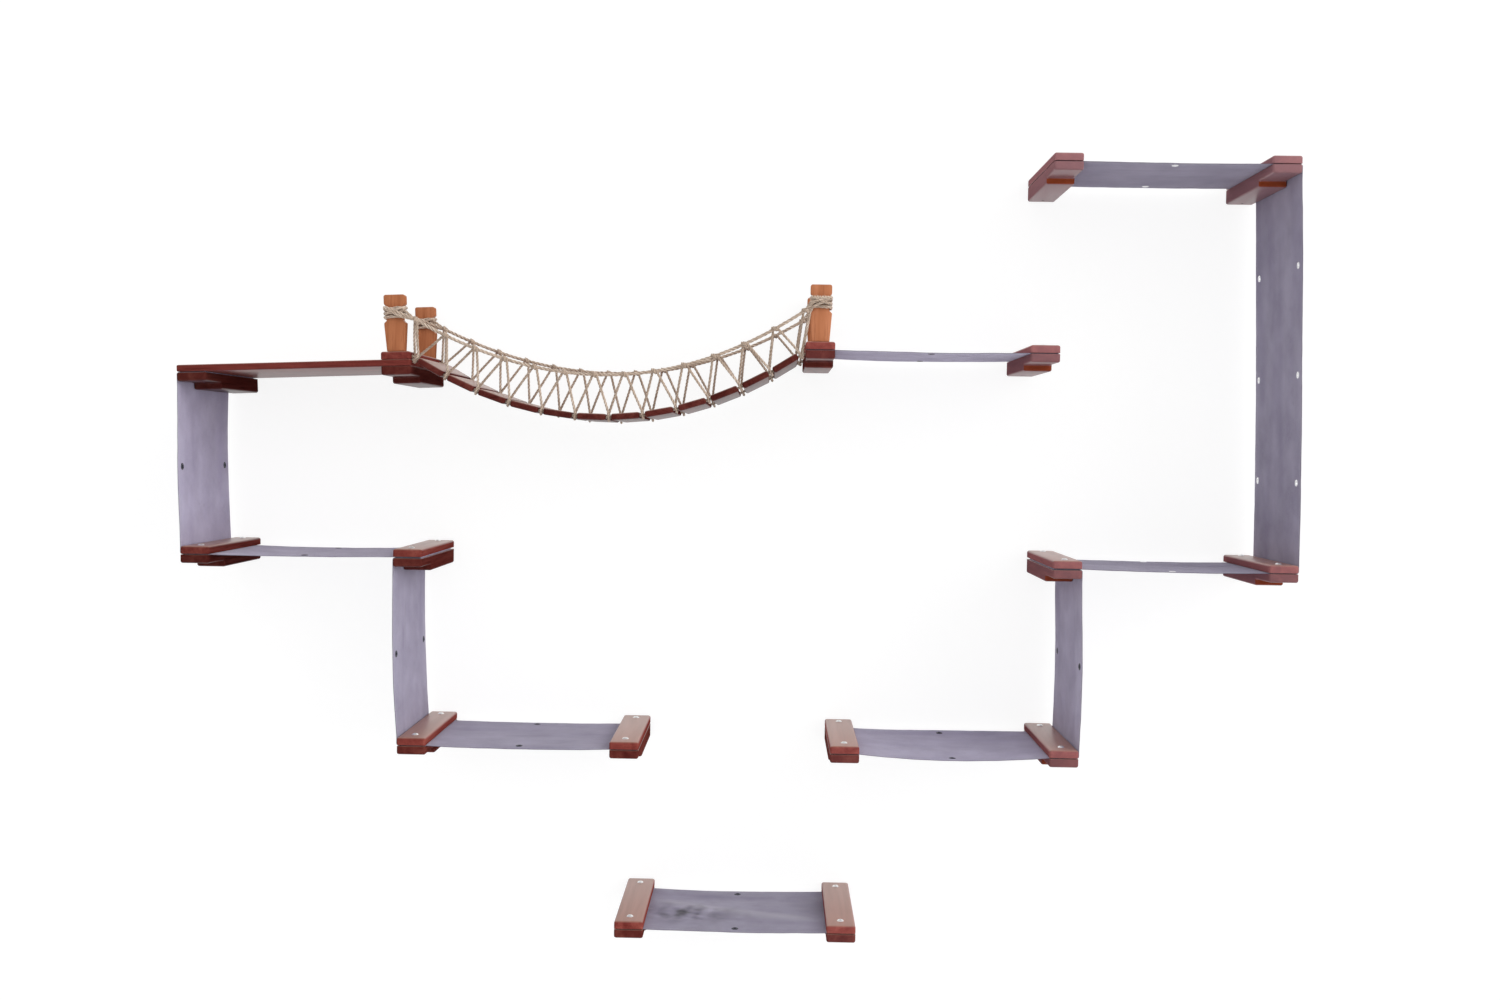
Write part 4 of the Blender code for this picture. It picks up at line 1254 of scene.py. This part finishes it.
def eyelet_profile():
    """Rolled ring through the cloth: from its top rim over and down the bore to the washer below."""
    half = CANVAS_THICK / 2
    hole = EYELET_HOLE - 0.2 * MM
    return (
        (EYELET_OUTER, half),
        (EYELET_OUTER - 0.3 * MM, half + 0.6 * MM),
        (EYELET_OUTER - 1.4 * MM, half + 1.0 * MM),
        (hole + 0.9 * MM, half + 0.9 * MM),
        (hole, half),
        (hole, -half),
        (hole + 0.9 * MM, -half - 0.9 * MM),
        (EYELET_OUTER - 1.4 * MM, -half - 1.0 * MM),
        (EYELET_OUTER - 0.3 * MM, -half - 0.6 * MM),
        (EYELET_OUTER, -half),
        (EYELET_OUTER, half),
    )


def middle_of(points):
    return points[len(points) // 2]


def drop_line(points):
    """The free part of a drop, between its two turns."""
    return points[ARC_STEPS + 1 : -ARC_STEPS - 1]


def ends(points):
    return points[0], points[-1]


def piece_names(*brackets):
    return [piece for name in brackets for piece in BRACKETS[name].names]


def make_hung_strip(name, brackets, way, sag=TREAD_SAG, last_layer=0, level=False):
    """A strip from its first clamp over that arm's edge, down, and in under a cap to the last clamp.

    Way is 1 where the strip hangs at the right of its arm and -1 where it hangs at the left.
    """
    upper, outer, inner = (BRACKETS[bracket] for bracket in brackets)
    fall = drop(upper, outer, way)
    span = across(outer, inner, -way, sag, last_layer)
    make_canvas(
        name,
        tongue(upper, -way) + fall + span + tongue(inner, -way, last_layer),
        [ends(drop_line(fall)), ends(span)],
        [middle_of(drop_line(fall)), middle_of(span)],
        piece_names(*brackets),
        level_back=ends(span) if level else None,
    )


def make_sling(name, left, right, creased=False):
    """A single span between two brackets."""
    first, second = BRACKETS[left], BRACKETS[right]
    span = across(first, second, 1, SLING_SAG)
    line = tongue(first, -1) + span + tongue(second, 1)
    make_canvas(name, line, [ends(span)], [middle_of(span)], piece_names(left, right), creased)


def make_long_strip():
    """The longest strip: a high sling, the tall drop with three eyelet pairs, and the tread below."""
    names = ("high_left", "high_right", "right_tread_outer", "right_tread_inner")
    high_left, high_right, outer, inner = (BRACKETS[name] for name in names)
    high = across(high_left, high_right, 1, HIGH_SLING_SAG)
    fall = drop(high_right, outer, 1)
    tread = across(outer, inner, -1, TREAD_SAG, 1)
    middle = middle_of(drop_line(fall))
    pitch = Vector((0, 0, EYELET_PITCH))
    make_canvas(
        "canvas_right_long",
        tongue(high_left, -1) + high + fall + tread + tongue(inner, -1, 1),
        [ends(high), ends(drop_line(fall)), ends(tread)],
        [middle_of(high), middle, middle + pitch, middle - pitch, middle_of(tread)],
        piece_names(*names[:3]),
        metal=NICKEL,
    )


def make_canvases():
    make_long_strip()
    right_step = ("right_tread_inner", "right_step_outer", "right_step_inner")
    make_hung_strip("canvas_right_step", right_step, 1, sag=WIDE_STEP_SAG, level=True)
    left_tread = ("shelf_outer", "left_tread_outer", "left_tread_inner")
    make_hung_strip("canvas_left_long", left_tread, -1, last_layer=1)
    left_step = ("left_tread_inner", "left_step_outer", "left_step_inner")
    make_hung_strip("canvas_left_step", left_step, -1)
    make_sling("canvas_end_sling", "bridge_right", "end_sling")
    make_sling("canvas_low_sling", "low_left", "low_right", creased=True)


# Ropes


def even_line(points, step=ROPE_STEP, passes=3):
    """The line through the points with points an even step apart, and its corners eased."""
    line, _ = resampled(points, step)
    for _ in range(passes):
        eased = [(before + 2 * here + after) / 4 for before, here, after in zip(line, line[1:], line[2:])]
        line = [line[0], *eased, line[-1]]
    return line


def frames_along(points):
    """A direction and two directions square to it at each point, with no twist between them."""
    tangents = []
    for index in range(len(points)):
        before, after = points[max(index - 1, 0)], points[min(index + 1, len(points) - 1)]
        tangents.append((after - before).normalized())
    side = tangents[0].orthogonal().normalized()
    found = []
    for tangent in tangents:
        side = (side - tangent * side.dot(tangent)).normalized()
        found.append((tangent, side, tangent.cross(side)))
    return found


def circle(middle, first_way, second_way, radius, corners):
    """Corners of a ring round a point, each with its angle from the first way."""
    found = []
    for corner in range(corners):
        angle = 2 * math.pi * corner / corners
        found.append((middle + (first_way * math.cos(angle) + second_way * math.sin(angle)) * radius, angle))
    return found


def groove_depth(angle):
    """How far a place on a strand lies in the groove, by its angle from the rope's outside, which sets its
    painted shade.
    """
    inward = -math.cos(angle)
    return max(0.0, 0.6 * inward + 0.4) if inward > -0.62 else 0.0


def uneven(changes, along, number, seed):
    size, pace, apart = changes
    return 1 + size * noise.noise(Vector((along * pace, number * apart, seed)))


def add_laid_rope(shape, points, radius, seed):
    """A three-strand rope along the points: each strand is a tube that winds round the line."""
    uv_layer = shape.loops.layers.uv.get("strand") or shape.loops.layers.uv.new("strand")
    groove_layer = shape.verts.layers.float.get("groove") or shape.verts.layers.float.new("groove")
    step = (points[1] - points[0]).length
    turn = 2 * math.pi * step / (LAY_TURN * radius)
    strand = STRAND_SHARE * radius
    for number in range(STRANDS):
        rings, thicks = [], []
        for index, (point, (tangent, side, other)) in enumerate(zip(points, frames_along(points))):
            angle = turn * index + 2 * math.pi * number / STRANDS
            outward = side * math.cos(angle) + other * math.sin(angle)
            thick = strand * uneven(THICK_CHANGES, index * step, number, seed)
            reach = (radius - strand) * uneven(REACH_CHANGES, index * step, number, seed + 7)
            middle = point + outward * reach
            ring = []
            for spot, around in circle(middle, outward, tangent.cross(outward), thick, STRAND_SIDES):
                vertex = shape.verts.new(spot)
                vertex[groove_layer] = groove_depth(around)
                ring.append(vertex)
            rings.append(ring)
            thicks.append(thick)
        for index, faces in enumerate(tube(shape, rings), 1):
            for corner, face in enumerate(faces):
                places = ((corner, -step), (corner + 1, -step), (corner + 1, 0.0), (corner, 0.0))
                for loop, (sides, back) in zip(face.loops, places):
                    loop[uv_layer].uv = (sides * thicks[index], index * step + back)


def add_fibres(shape, points, radius, count, rng):
    """Short loose fibres that stand off the rope."""
    for _ in range(count):
        index = rng.randrange(1, len(points) - 1)
        tangent = (points[index + 1] - points[index - 1]).normalized()
        angle = rng.uniform(0, 2 * math.pi)
        side = tangent.orthogonal().normalized()
        outward = side * math.cos(angle) + tangent.cross(side) * math.sin(angle)
        start = points[index] + outward * radius * FIBRE_ROOT_SHARE
        lean = (outward + tangent * rng.uniform(-FIBRE_LEAN, FIBRE_LEAN)).normalized()
        length = rng.uniform(*FIBRE_LENGTHS) * MM
        bend = Vector([rng.uniform(-1, 1) for _ in range(3)]) * FIBRE_BEND * MM
        across_way = lean.orthogonal().normalized()
        line = (start, start + lean * length * 0.5 + bend, start + lean * length)
        rings = []
        for spot, share in zip(line, FIBRE_TAPER):
            corners = circle(spot, across_way, lean.cross(across_way), FIBRE_RADIUS * share, 3)
            rings.append([shape.verts.new(corner) for corner, _ in corners])
        tube(shape, rings)


def rope_object(name, lines, radius, fibres=0, look=JUTE):
    """One object of laid rope along each of the lines, with this many loose fibres to a metre."""
    shape = bmesh.new()
    rng = random.Random(name)
    for number, line in enumerate(lines):
        points = even_line(line)
        add_laid_rope(shape, points, radius, 3.1 * number + len(name))
        add_fibres(shape, points, radius, int((len(points) - 1) * ROPE_STEP * fibres), rng)
    bmesh.ops.recalc_face_normals(shape, faces=shape.faces)
    rope = mesh_object(name, shape, look)
    smooth(rope, 60)
    return rope


def neck_point(quarter, step, lift=0.0):
    """A point of a turn round a neck, from above and anticlockwise: a step of the way round a corner."""
    x_way, y_way = ((-1, 1), (-1, -1), (1, -1), (1, 1))[quarter]
    across_by = x_way * (POST_NECK_WIDTH / 2 - POST_EDGE_ROUND)
    out = y_way * (POST_THICK / 2 - POST_EDGE_ROUND)
    radius = POST_EDGE_ROUND + SEAT_GAP + ROPE_RADIUS + lift
    angle = math.radians(90) * (quarter + 1 + step / CORNER_STEPS)
    return Vector((across_by + radius * math.cos(angle), out + radius * math.sin(angle), 0))


def winding_top():
    """Height of the highest turn over the post's foot, where it meets the head's lower slope."""
    across_by = POST_NECK_WIDTH / 2 + SEAT_GAP + ROPE_RADIUS
    return POST_HEAD_LOW - POST_HEAD_WIDTH / 2 + across_by - math.sqrt(2) * (ROPE_RADIUS + SEAT_GAP)


SETTLED = Vector((0, 0, 1 * MM))


def winding(leave_height):
    """Rope round a neck: up from its tail behind the post, then slantwise in front over its own turns."""
    turn = [neck_point(quarter, step) for quarter in range(4) for step in range(CORNER_STEPS + 1)]
    slope = WIND_PITCH / lengths_along([*turn, turn[0]])[-1]
    flat = [Vector((0, turn[0].y, 0)), *(turn * WIND_TURNS)]
    lengths = lengths_along(flat)
    top = Vector((0, 0, winding_top()))
    falls = [slope * (lengths[-1] - length) for length in lengths]
    points = [spot + top - Vector((0, 0, fall)) for spot, fall in zip(flat, falls)]
    points += [neck_point(0, step) + top for step in range(1, CORNER_STEPS + 2)]
    lean = CROSSING_LIFT_SHARE * ROPE_RADIUS
    for share in shares(CORNER_STEPS):
        points.append(neck_point(1, CORNER_STEPS * share, lean * share) + top - SETTLED)
    points.append(neck_point(2, 0, lean) + Vector((0, 0, leave_height)))
    return points


def front_wrap(low, high):
    """A thinner strand slantwise over the winding in front, with both ends tucked in at the sides."""
    lift, last = ROPE_RADIUS + LACE_RADIUS, CORNER_STEPS
    places = ((1, 0, 0.0, high), (1, last, lift, high), (2, 0, lift, low), (2, last, 0.0, low))
    return [neck_point(quarter, step, out) + Vector((0, 0, height)) for quarter, step, out, height in places]


def frayed_row():
    """The frayed tail of the winding, laid in small loops over the top turn in front."""
    out = neck_point(1, CORNER_STEPS, ROPE_RADIUS + LACE_RADIUS).y
    points = []
    for share in shares(FRAY_LOOPS * 12):
        angle = 2 * math.pi * FRAY_LOOPS * share
        across_by = POST_NECK_WIDTH * FRAY_REACH_SHARE * (share - 0.5) - FRAY_LOOP_RADIUS * math.sin(angle)
        points.append(Vector((across_by, out, FRAY_HEIGHT + FRAY_LOOP_RADIUS * math.cos(angle))))
    return points


def mirrored(point):
    return Vector((-point.x, point.y, point.z))


class Rail:
    """A handrail's line: its winding round each post and the slung stretch between, with its ties."""

    def __init__(self, place_name, count):
        self.sag = RAIL_SAGS[place_name]
        self.left_out, self.right_out = post_line("left", place_name), post_line("right", place_name)
        leave = neck_point(2, 0)
        self.start = self.on_left(leave + Vector((0, 0, RAIL_LEFT_HEIGHT)))
        self.end = self.on_right(leave + Vector((0, 0, RAIL_RIGHT_HEIGHT)))
        first = self.on_left(Vector((POST_BODY_WIDTH / 2, 0, 0))).x + RAIL_LEFT_INSET
        last = self.on_right(Vector((POST_BODY_WIDTH / 2, 0, 0))).x - RAIL_RIGHT_INSET
        self.ties = [self.point(first + (last - first) * index / count) for index in range(count + 1)]

    def on_left(self, point):
        return BRACKETS["bridge_left"].on_post(point, self.left_out)

    def on_right(self, point):
        """The same place on the right post as on_left gives on the left one, mirrored."""
        return BRACKETS["bridge_right"].on_post(mirrored(point), self.right_out)

    def point(self, x):
        share = (x - self.start.x) / (self.end.x - self.start.x)
        point = self.start.lerp(self.end, share)
        point.z -= 4 * self.sag * share * (1 - share) * (1 + RAIL_LEAN_SHARE * (2 * share - 1))
        return point

    def along(self, x):
        return (self.point(x + MM) - self.point(x - MM)).normalized()

    def line(self):
        first, last = self.ties[0].x, self.ties[-1].x
        points = [self.on_left(point) for point in winding(LEFT_LEAVE_HEIGHT)]
        points += [self.point(first + (last - first) * share) for share in shares(RAIL_STEPS)]
        points += [self.on_right(point) for point in reversed(winding(RIGHT_LEAVE_HEIGHT))]
        return points

    def wraps(self):
        """Thin strands slantwise over both windings, and two more from each winding to its next hitch."""
        lines = []
        slants = ((WRAP_LOW, WRAP_HIGH - WRAP_SETTLE), (WRAP_HIGH - WRAP_SHIFT, WRAP_LOW + WRAP_SETTLE))
        across_from = Vector((0.3 * POST_NECK_WIDTH, 0, 0))
        for to_post, tie in ((self.on_left, self.ties[0]), (self.on_right, self.ties[-1])):
            lines += [[to_post(point) for point in front_wrap(low, high)] for low, high in slants]
            for height in (WRAP_LOW, WRAP_HIGH - STAY_SHIFT):
                start = neck_point(2, 0, LACE_RADIUS) + Vector((0, 0, height))
                near_tie = tie.lerp(to_post(start), 0.1)
                lines.append([to_post(start - across_from), to_post(start), near_tie])
        return lines


ROOMWARD = Vector((0, -1, 0))


def square_up(along):
    return Vector((-along.z, 0, along.x)).normalized()


def turned(up, angle):
    """The way at this angle round a level line, from the room's side up."""
    return ROOMWARD * math.cos(angle) + up * math.sin(angle)


def hitch(center, along, rng):
    """The lacing's hitch on the rail: turns side by side, and one that crosses over them in front."""
    up = square_up(along)
    radius = ROPE_RADIUS + HITCH_SEAT_SHARE * LACE_RADIUS
    around = []
    for share in shares(30):
        angle = HITCH_START - HITCH_TURNS * 2 * math.pi * share
        shift = HITCH_PITCH * HITCH_TURNS * (share - 0.5)
        around.append(center + along * shift + turned(up, angle) * radius)
    cross = []
    lean = rng.uniform(*HITCH_LEANS)
    for share in shares(8):
        shift = HITCH_PITCH * lean * (2 * share - 1)
        lift = radius + HITCH_RISE_SHARE * LACE_RADIUS * math.sin(math.pi * share)
        cross.append(center + along * shift + turned(up, math.radians(CROSS_START - 180 * share)) * lift)
    return [around, cross]


def gap_loop(center, along, deep):
    """Down in front of the deck rope, under it and up behind it, in the gap between two planks."""
    up = square_up(along)
    radius = ROPE_RADIUS + LACE_RADIUS + ROPE_CLEAR
    lift = up * (PLANK_THICK / 2 + LACE_RISE)
    loop = []
    for share in shares(8):
        sink = deep * math.sin(math.pi * share)
        loop.append(center + turned(up, math.radians(-180 * share)) * radius - up * sink)
    return [loop[0] + lift, *loop, loop[-1] + lift]


def hook_ends(rail, index):
    """Where the lacing leaves the hitch in front of the rail and where it comes up behind it."""
    tie = rail.ties[index]
    offset = ROOMWARD * (ROPE_RADIUS + HOOK_SHARE * LACE_RADIUS) + rail.along(tie.x) * HITCH_PITCH
    return tie + offset, tie - offset


def slack_line(start, end, bow, parts=6):
    """A nearly straight strand with a little bow in it, ends included."""
    return [start.lerp(end, share) + bow * math.sin(math.pi * share) for share in shares(parts)]


def deck_body(index):
    """Body named for the lacing in one gap: the plank on the side that sways less."""
    count = len(planks())
    number = index if index <= count // 2 else index + 1
    return f"deck_{min(max(number, 1), count):02d}"


def follow(piece, node, body, start, end):
    """Hides the CAD node whose place a rope piece takes and bakes the piece's place into its mesh; body,
    start and end are not used.
    """
    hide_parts(node)
    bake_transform(piece)
    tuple(start)
    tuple(end)


def make_hitches(place_name, rail, rng):
    """All of the lacing that stays with rail and posts: hitches, wraps and a frayed tail."""
    hitches = []
    for tie in rail.ties:
        hitches += hitch(tie, rail.along(tie.x), rng)
    ties = rope_object(f"hitches_{place_name}", hitches + rail.wraps(), LACE_ROPE_RADIUS, fibres=260)
    place(ties, "wall_frame", "jute", f"lacing_{place_name}")
    tail = [rail.on_right(point) for point in frayed_row()]
    frayed = rope_object(f"frayed_tail_{place_name}", [tail], FRAY_RADIUS, fibres=1500, look=FRAYED_JUTE)
    place(frayed, "wall_frame", "jute")


def gap_lines(rail, index, center, along, rng):
    """The strands of one gap: down from a hitch, under the deck rope and up to the next hitch.

    The first and the last gap have one strand more, which ends beside the loop.
    """
    deep = rng.uniform(0.0, 1.0) * MM
    loop = gap_loop(center, along, deep)
    bow = Vector((rng.uniform(-1, 1), rng.uniform(-1, 1), 0)) * LACE_BOW
    down_from, up_to = hook_ends(rail, index)[0], hook_ends(rail, index + 1)[1]
    lines = [slack_line(down_from, loop[0], bow)[:-1] + loop + slack_line(loop[-1], up_to, -bow)[1:]]
    level, aside = Vector((1, 0, 0)), Vector((LACE_TIE_PITCH, 0, 0))
    if index == 0:
        start_loop = gap_loop(center - aside, level, deep)
        lines.append(start_loop[1:] + slack_line(start_loop[-1], hook_ends(rail, 0)[1], bow)[1:])
    if index == len(rail.ties) - 2:
        end_loop = gap_loop(center + aside, level, deep)
        top = rail.on_right(neck_point(2, 0, LACE_RADIUS) + Vector((LACE_RADIUS, 0, WRAP_HIGH)))
        lines.append(slack_line(top, end_loop[0], bow)[:-1] + end_loop[:-1])
    return lines


def make_lacing(place_name, rail, joints, out):
    """The lacing as hitches that stay on the rail and one piece to a gap."""
    rng = random.Random(place_name)
    make_hitches(place_name, rail, rng)
    slopes = [joints[0], *joints, joints[-1]]
    for index, joint in enumerate(joints):
        along = (slopes[index + 2] - slopes[index]).normalized()
        center = joint + Vector((0, out, 0))
        lines = gap_lines(rail, index, center, along, rng)
        strand = rope_object(f"lacing_{place_name}_{index:02d}", lines, LACE_ROPE_RADIUS, fibres=200)
        up = square_up(along)
        rail_height = ((rail.ties[index] + rail.ties[index + 1]) / 2 - center).dot(up)
        start, end = center + up * (rail_height - LACE_STILL), center + up * LACE_FOLLOWS
        follow(strand, f"lacing_{place_name}", deck_body(index), start, end)


def sways():
    """How far each plank sways to the room, with the two still ties before the first and after the last."""
    ranges = {joint["name"]: joint["range_m"][1] for joint in frame["joints"]}
    return [0.0, *(ranges[node.replace("plank", "sway")] for node in planks()), 0.0]


def bend_at_mouth(mouth, joint):
    """Where the rope starts and ends to bend between the hole it comes from and the first plank."""
    lead = (joint - mouth).normalized()
    return mouth + lead * MOUTH_START, mouth + lead * MOUTH_REACH


def bend_in_gap(tight, loose, share):
    """The same between two planks, of which the one at the tight end sways by this share of the other."""
    way = (loose - tight).normalized()
    finish = tight + way * GAP_REACH
    return finish - way * (GAP_BEND / max(1 - smooth_share(share), LEAST_PARTING)), finish


def make_deck_rope(place_name, joints, out):
    """The deck rope in lengths, one to each plank."""
    offset = Vector((0, out, 0))
    mouths = [rope_tie(side) + offset for side in ("left", "right")]
    first, last = (rope_tie(side, TIE_DEPTH) + offset for side in ("left", "right"))
    places = [first, *(joint + offset for joint in joints), last]
    sway = sways()
    count = len(planks())
    for number in range(1, count + 1):
        start, end = places[number], places[number + 1]
        lap = (end - start).normalized() * ROPE_LAP
        line = [start - lap, start.lerp(end, 0.35), start.lerp(end, 0.65), end + lap]
        if number == 1:
            line = [first, mouths[0], *line[1:]]
        if number == count:
            line = [*line[:-1], mouths[1], last]
        piece = rope_object(f"deck_rope_{place_name}_{number:02d}", [line], DECK_ROPE_RADIUS)
        on_left = number <= count // 2
        tight, loose = (start, end) if on_left else (end, start)
        if number in (1, count):
            begin, finish = bend_at_mouth(mouths[0] if on_left else mouths[1], tight)
        else:
            before = sway[number - 1] if on_left else sway[number + 1]
            begin, finish = bend_in_gap(tight, loose, before / sway[number])
        follow(piece, f"deck_rope_{place_name}", f"deck_{number:02d}", begin, finish)


def smooth_share(value):
    """Where a smooth step from 0 to 1 meets a value, by halving."""
    low, high = 0.0, 1.0
    for _ in range(40):
        middle = (low + high) / 2
        if middle * middle * (3 - 2 * middle) < value:
            low = middle
        else:
            high = middle
    return low


def make_ropes(joints):
    lines = dict(zip(("front", "back"), tie_lines()))
    for place_name, out in lines.items():
        rail = Rail(place_name, len(joints))
        handrail = rope_object(f"rope_handrail_{place_name}", [rail.line()], RAIL_ROPE_RADIUS, fibres=220)
        place(handrail, "wall_frame", "jute", f"handrail_{place_name}")
        make_lacing(place_name, rail, joints, out)
        make_deck_rope(place_name, joints, out)


# Stage, light and camera


def plane(name, center, x_way, y_way, material):
    shape = bmesh.new()
    center, x_way, y_way = Vector(center), Vector(x_way), Vector(y_way)
    signs = ((-1, -1), (1, -1), (1, 1), (-1, 1))
    shape.faces.new([shape.verts.new(center + x_way * a + y_way * b) for a, b in signs])
    mesh_object(name, shape, material)


def sun_light(name, towards, spread, strength):
    """Even soft light from one way, towards which the lamp looks back."""
    data = bpy.data.lights.new(name, "SUN")
    data.angle = math.radians(spread)
    data.energy = strength
    light = collection_object(name, data)
    light.rotation_euler = Vector(towards).to_track_quat("Z", "Y").to_euler()


def make_stage():
    low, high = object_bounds()
    middle = (Vector(low) + Vector(high)) / 2
    aside = (ROOM_HALF_WIDTH, 0, 0)
    wall_middle = (middle.x, WALL_BEHIND, middle.z + ROOM_RAISE)
    floor_middle = (middle.x, -ROOM_HALF_DEPTH, FLOOR_HEIGHT)
    plane("wall", wall_middle, aside, (0, 0, ROOM_HALF_HEIGHT), backdrop_material("pale_wall"))
    plane("floor", floor_middle, aside, (0, ROOM_HALF_DEPTH, 0), backdrop_material("pale_floor"))
    world = bpy.data.worlds.new("room")
    bpy.context.scene.world = world
    world.use_nodes = True
    nodes, links = world.node_tree.nodes, world.node_tree.links
    nodes["Background"].inputs["Color"].default_value = (1.0, 1.0, 1.0, 1.0)
    strength = nodes.new("ShaderNodeMapRange")
    strength.inputs["To Min"].default_value = WORLD_STRENGTH
    links.new(nodes.new("ShaderNodeLightPath").outputs["Is Camera Ray"], strength.inputs["Value"])
    links.new(strength.outputs["Result"], nodes["Background"].inputs["Strength"])
    sun_light("key", *KEY_LIGHT)
    sun_light("fill", *FILL_LIGHT)


def make_camera():
    data = bpy.data.cameras.new("camera")
    data.lens = CAMERA_LENS
    data.sensor_width = CAMERA_SENSOR
    data.sensor_fit = "HORIZONTAL"
    data.clip_start = CAMERA_NEAR
    camera = collection_object("camera", data)
    camera.matrix_world = (
        Matrix.Translation(CAMERA_PLACE)
        @ Matrix.Rotation(-CAMERA_YAW, 4, "Z")
        @ Matrix.Rotation(math.radians(90) + CAMERA_PITCH, 4, "X")
        @ Matrix.Rotation(-CAMERA_ROLL, 4, "Z")
    )
    bpy.context.scene.camera = camera


def main():
    bpy.context.scene.view_settings.view_transform = "Standard"
    make_camera()
    make_stage()
    make_arms()
    make_caps()
    make_board()
    make_posts()
    joints = deck_joints()
    make_planks(joints)
    make_canvases()
    make_ropes(joints)


main()
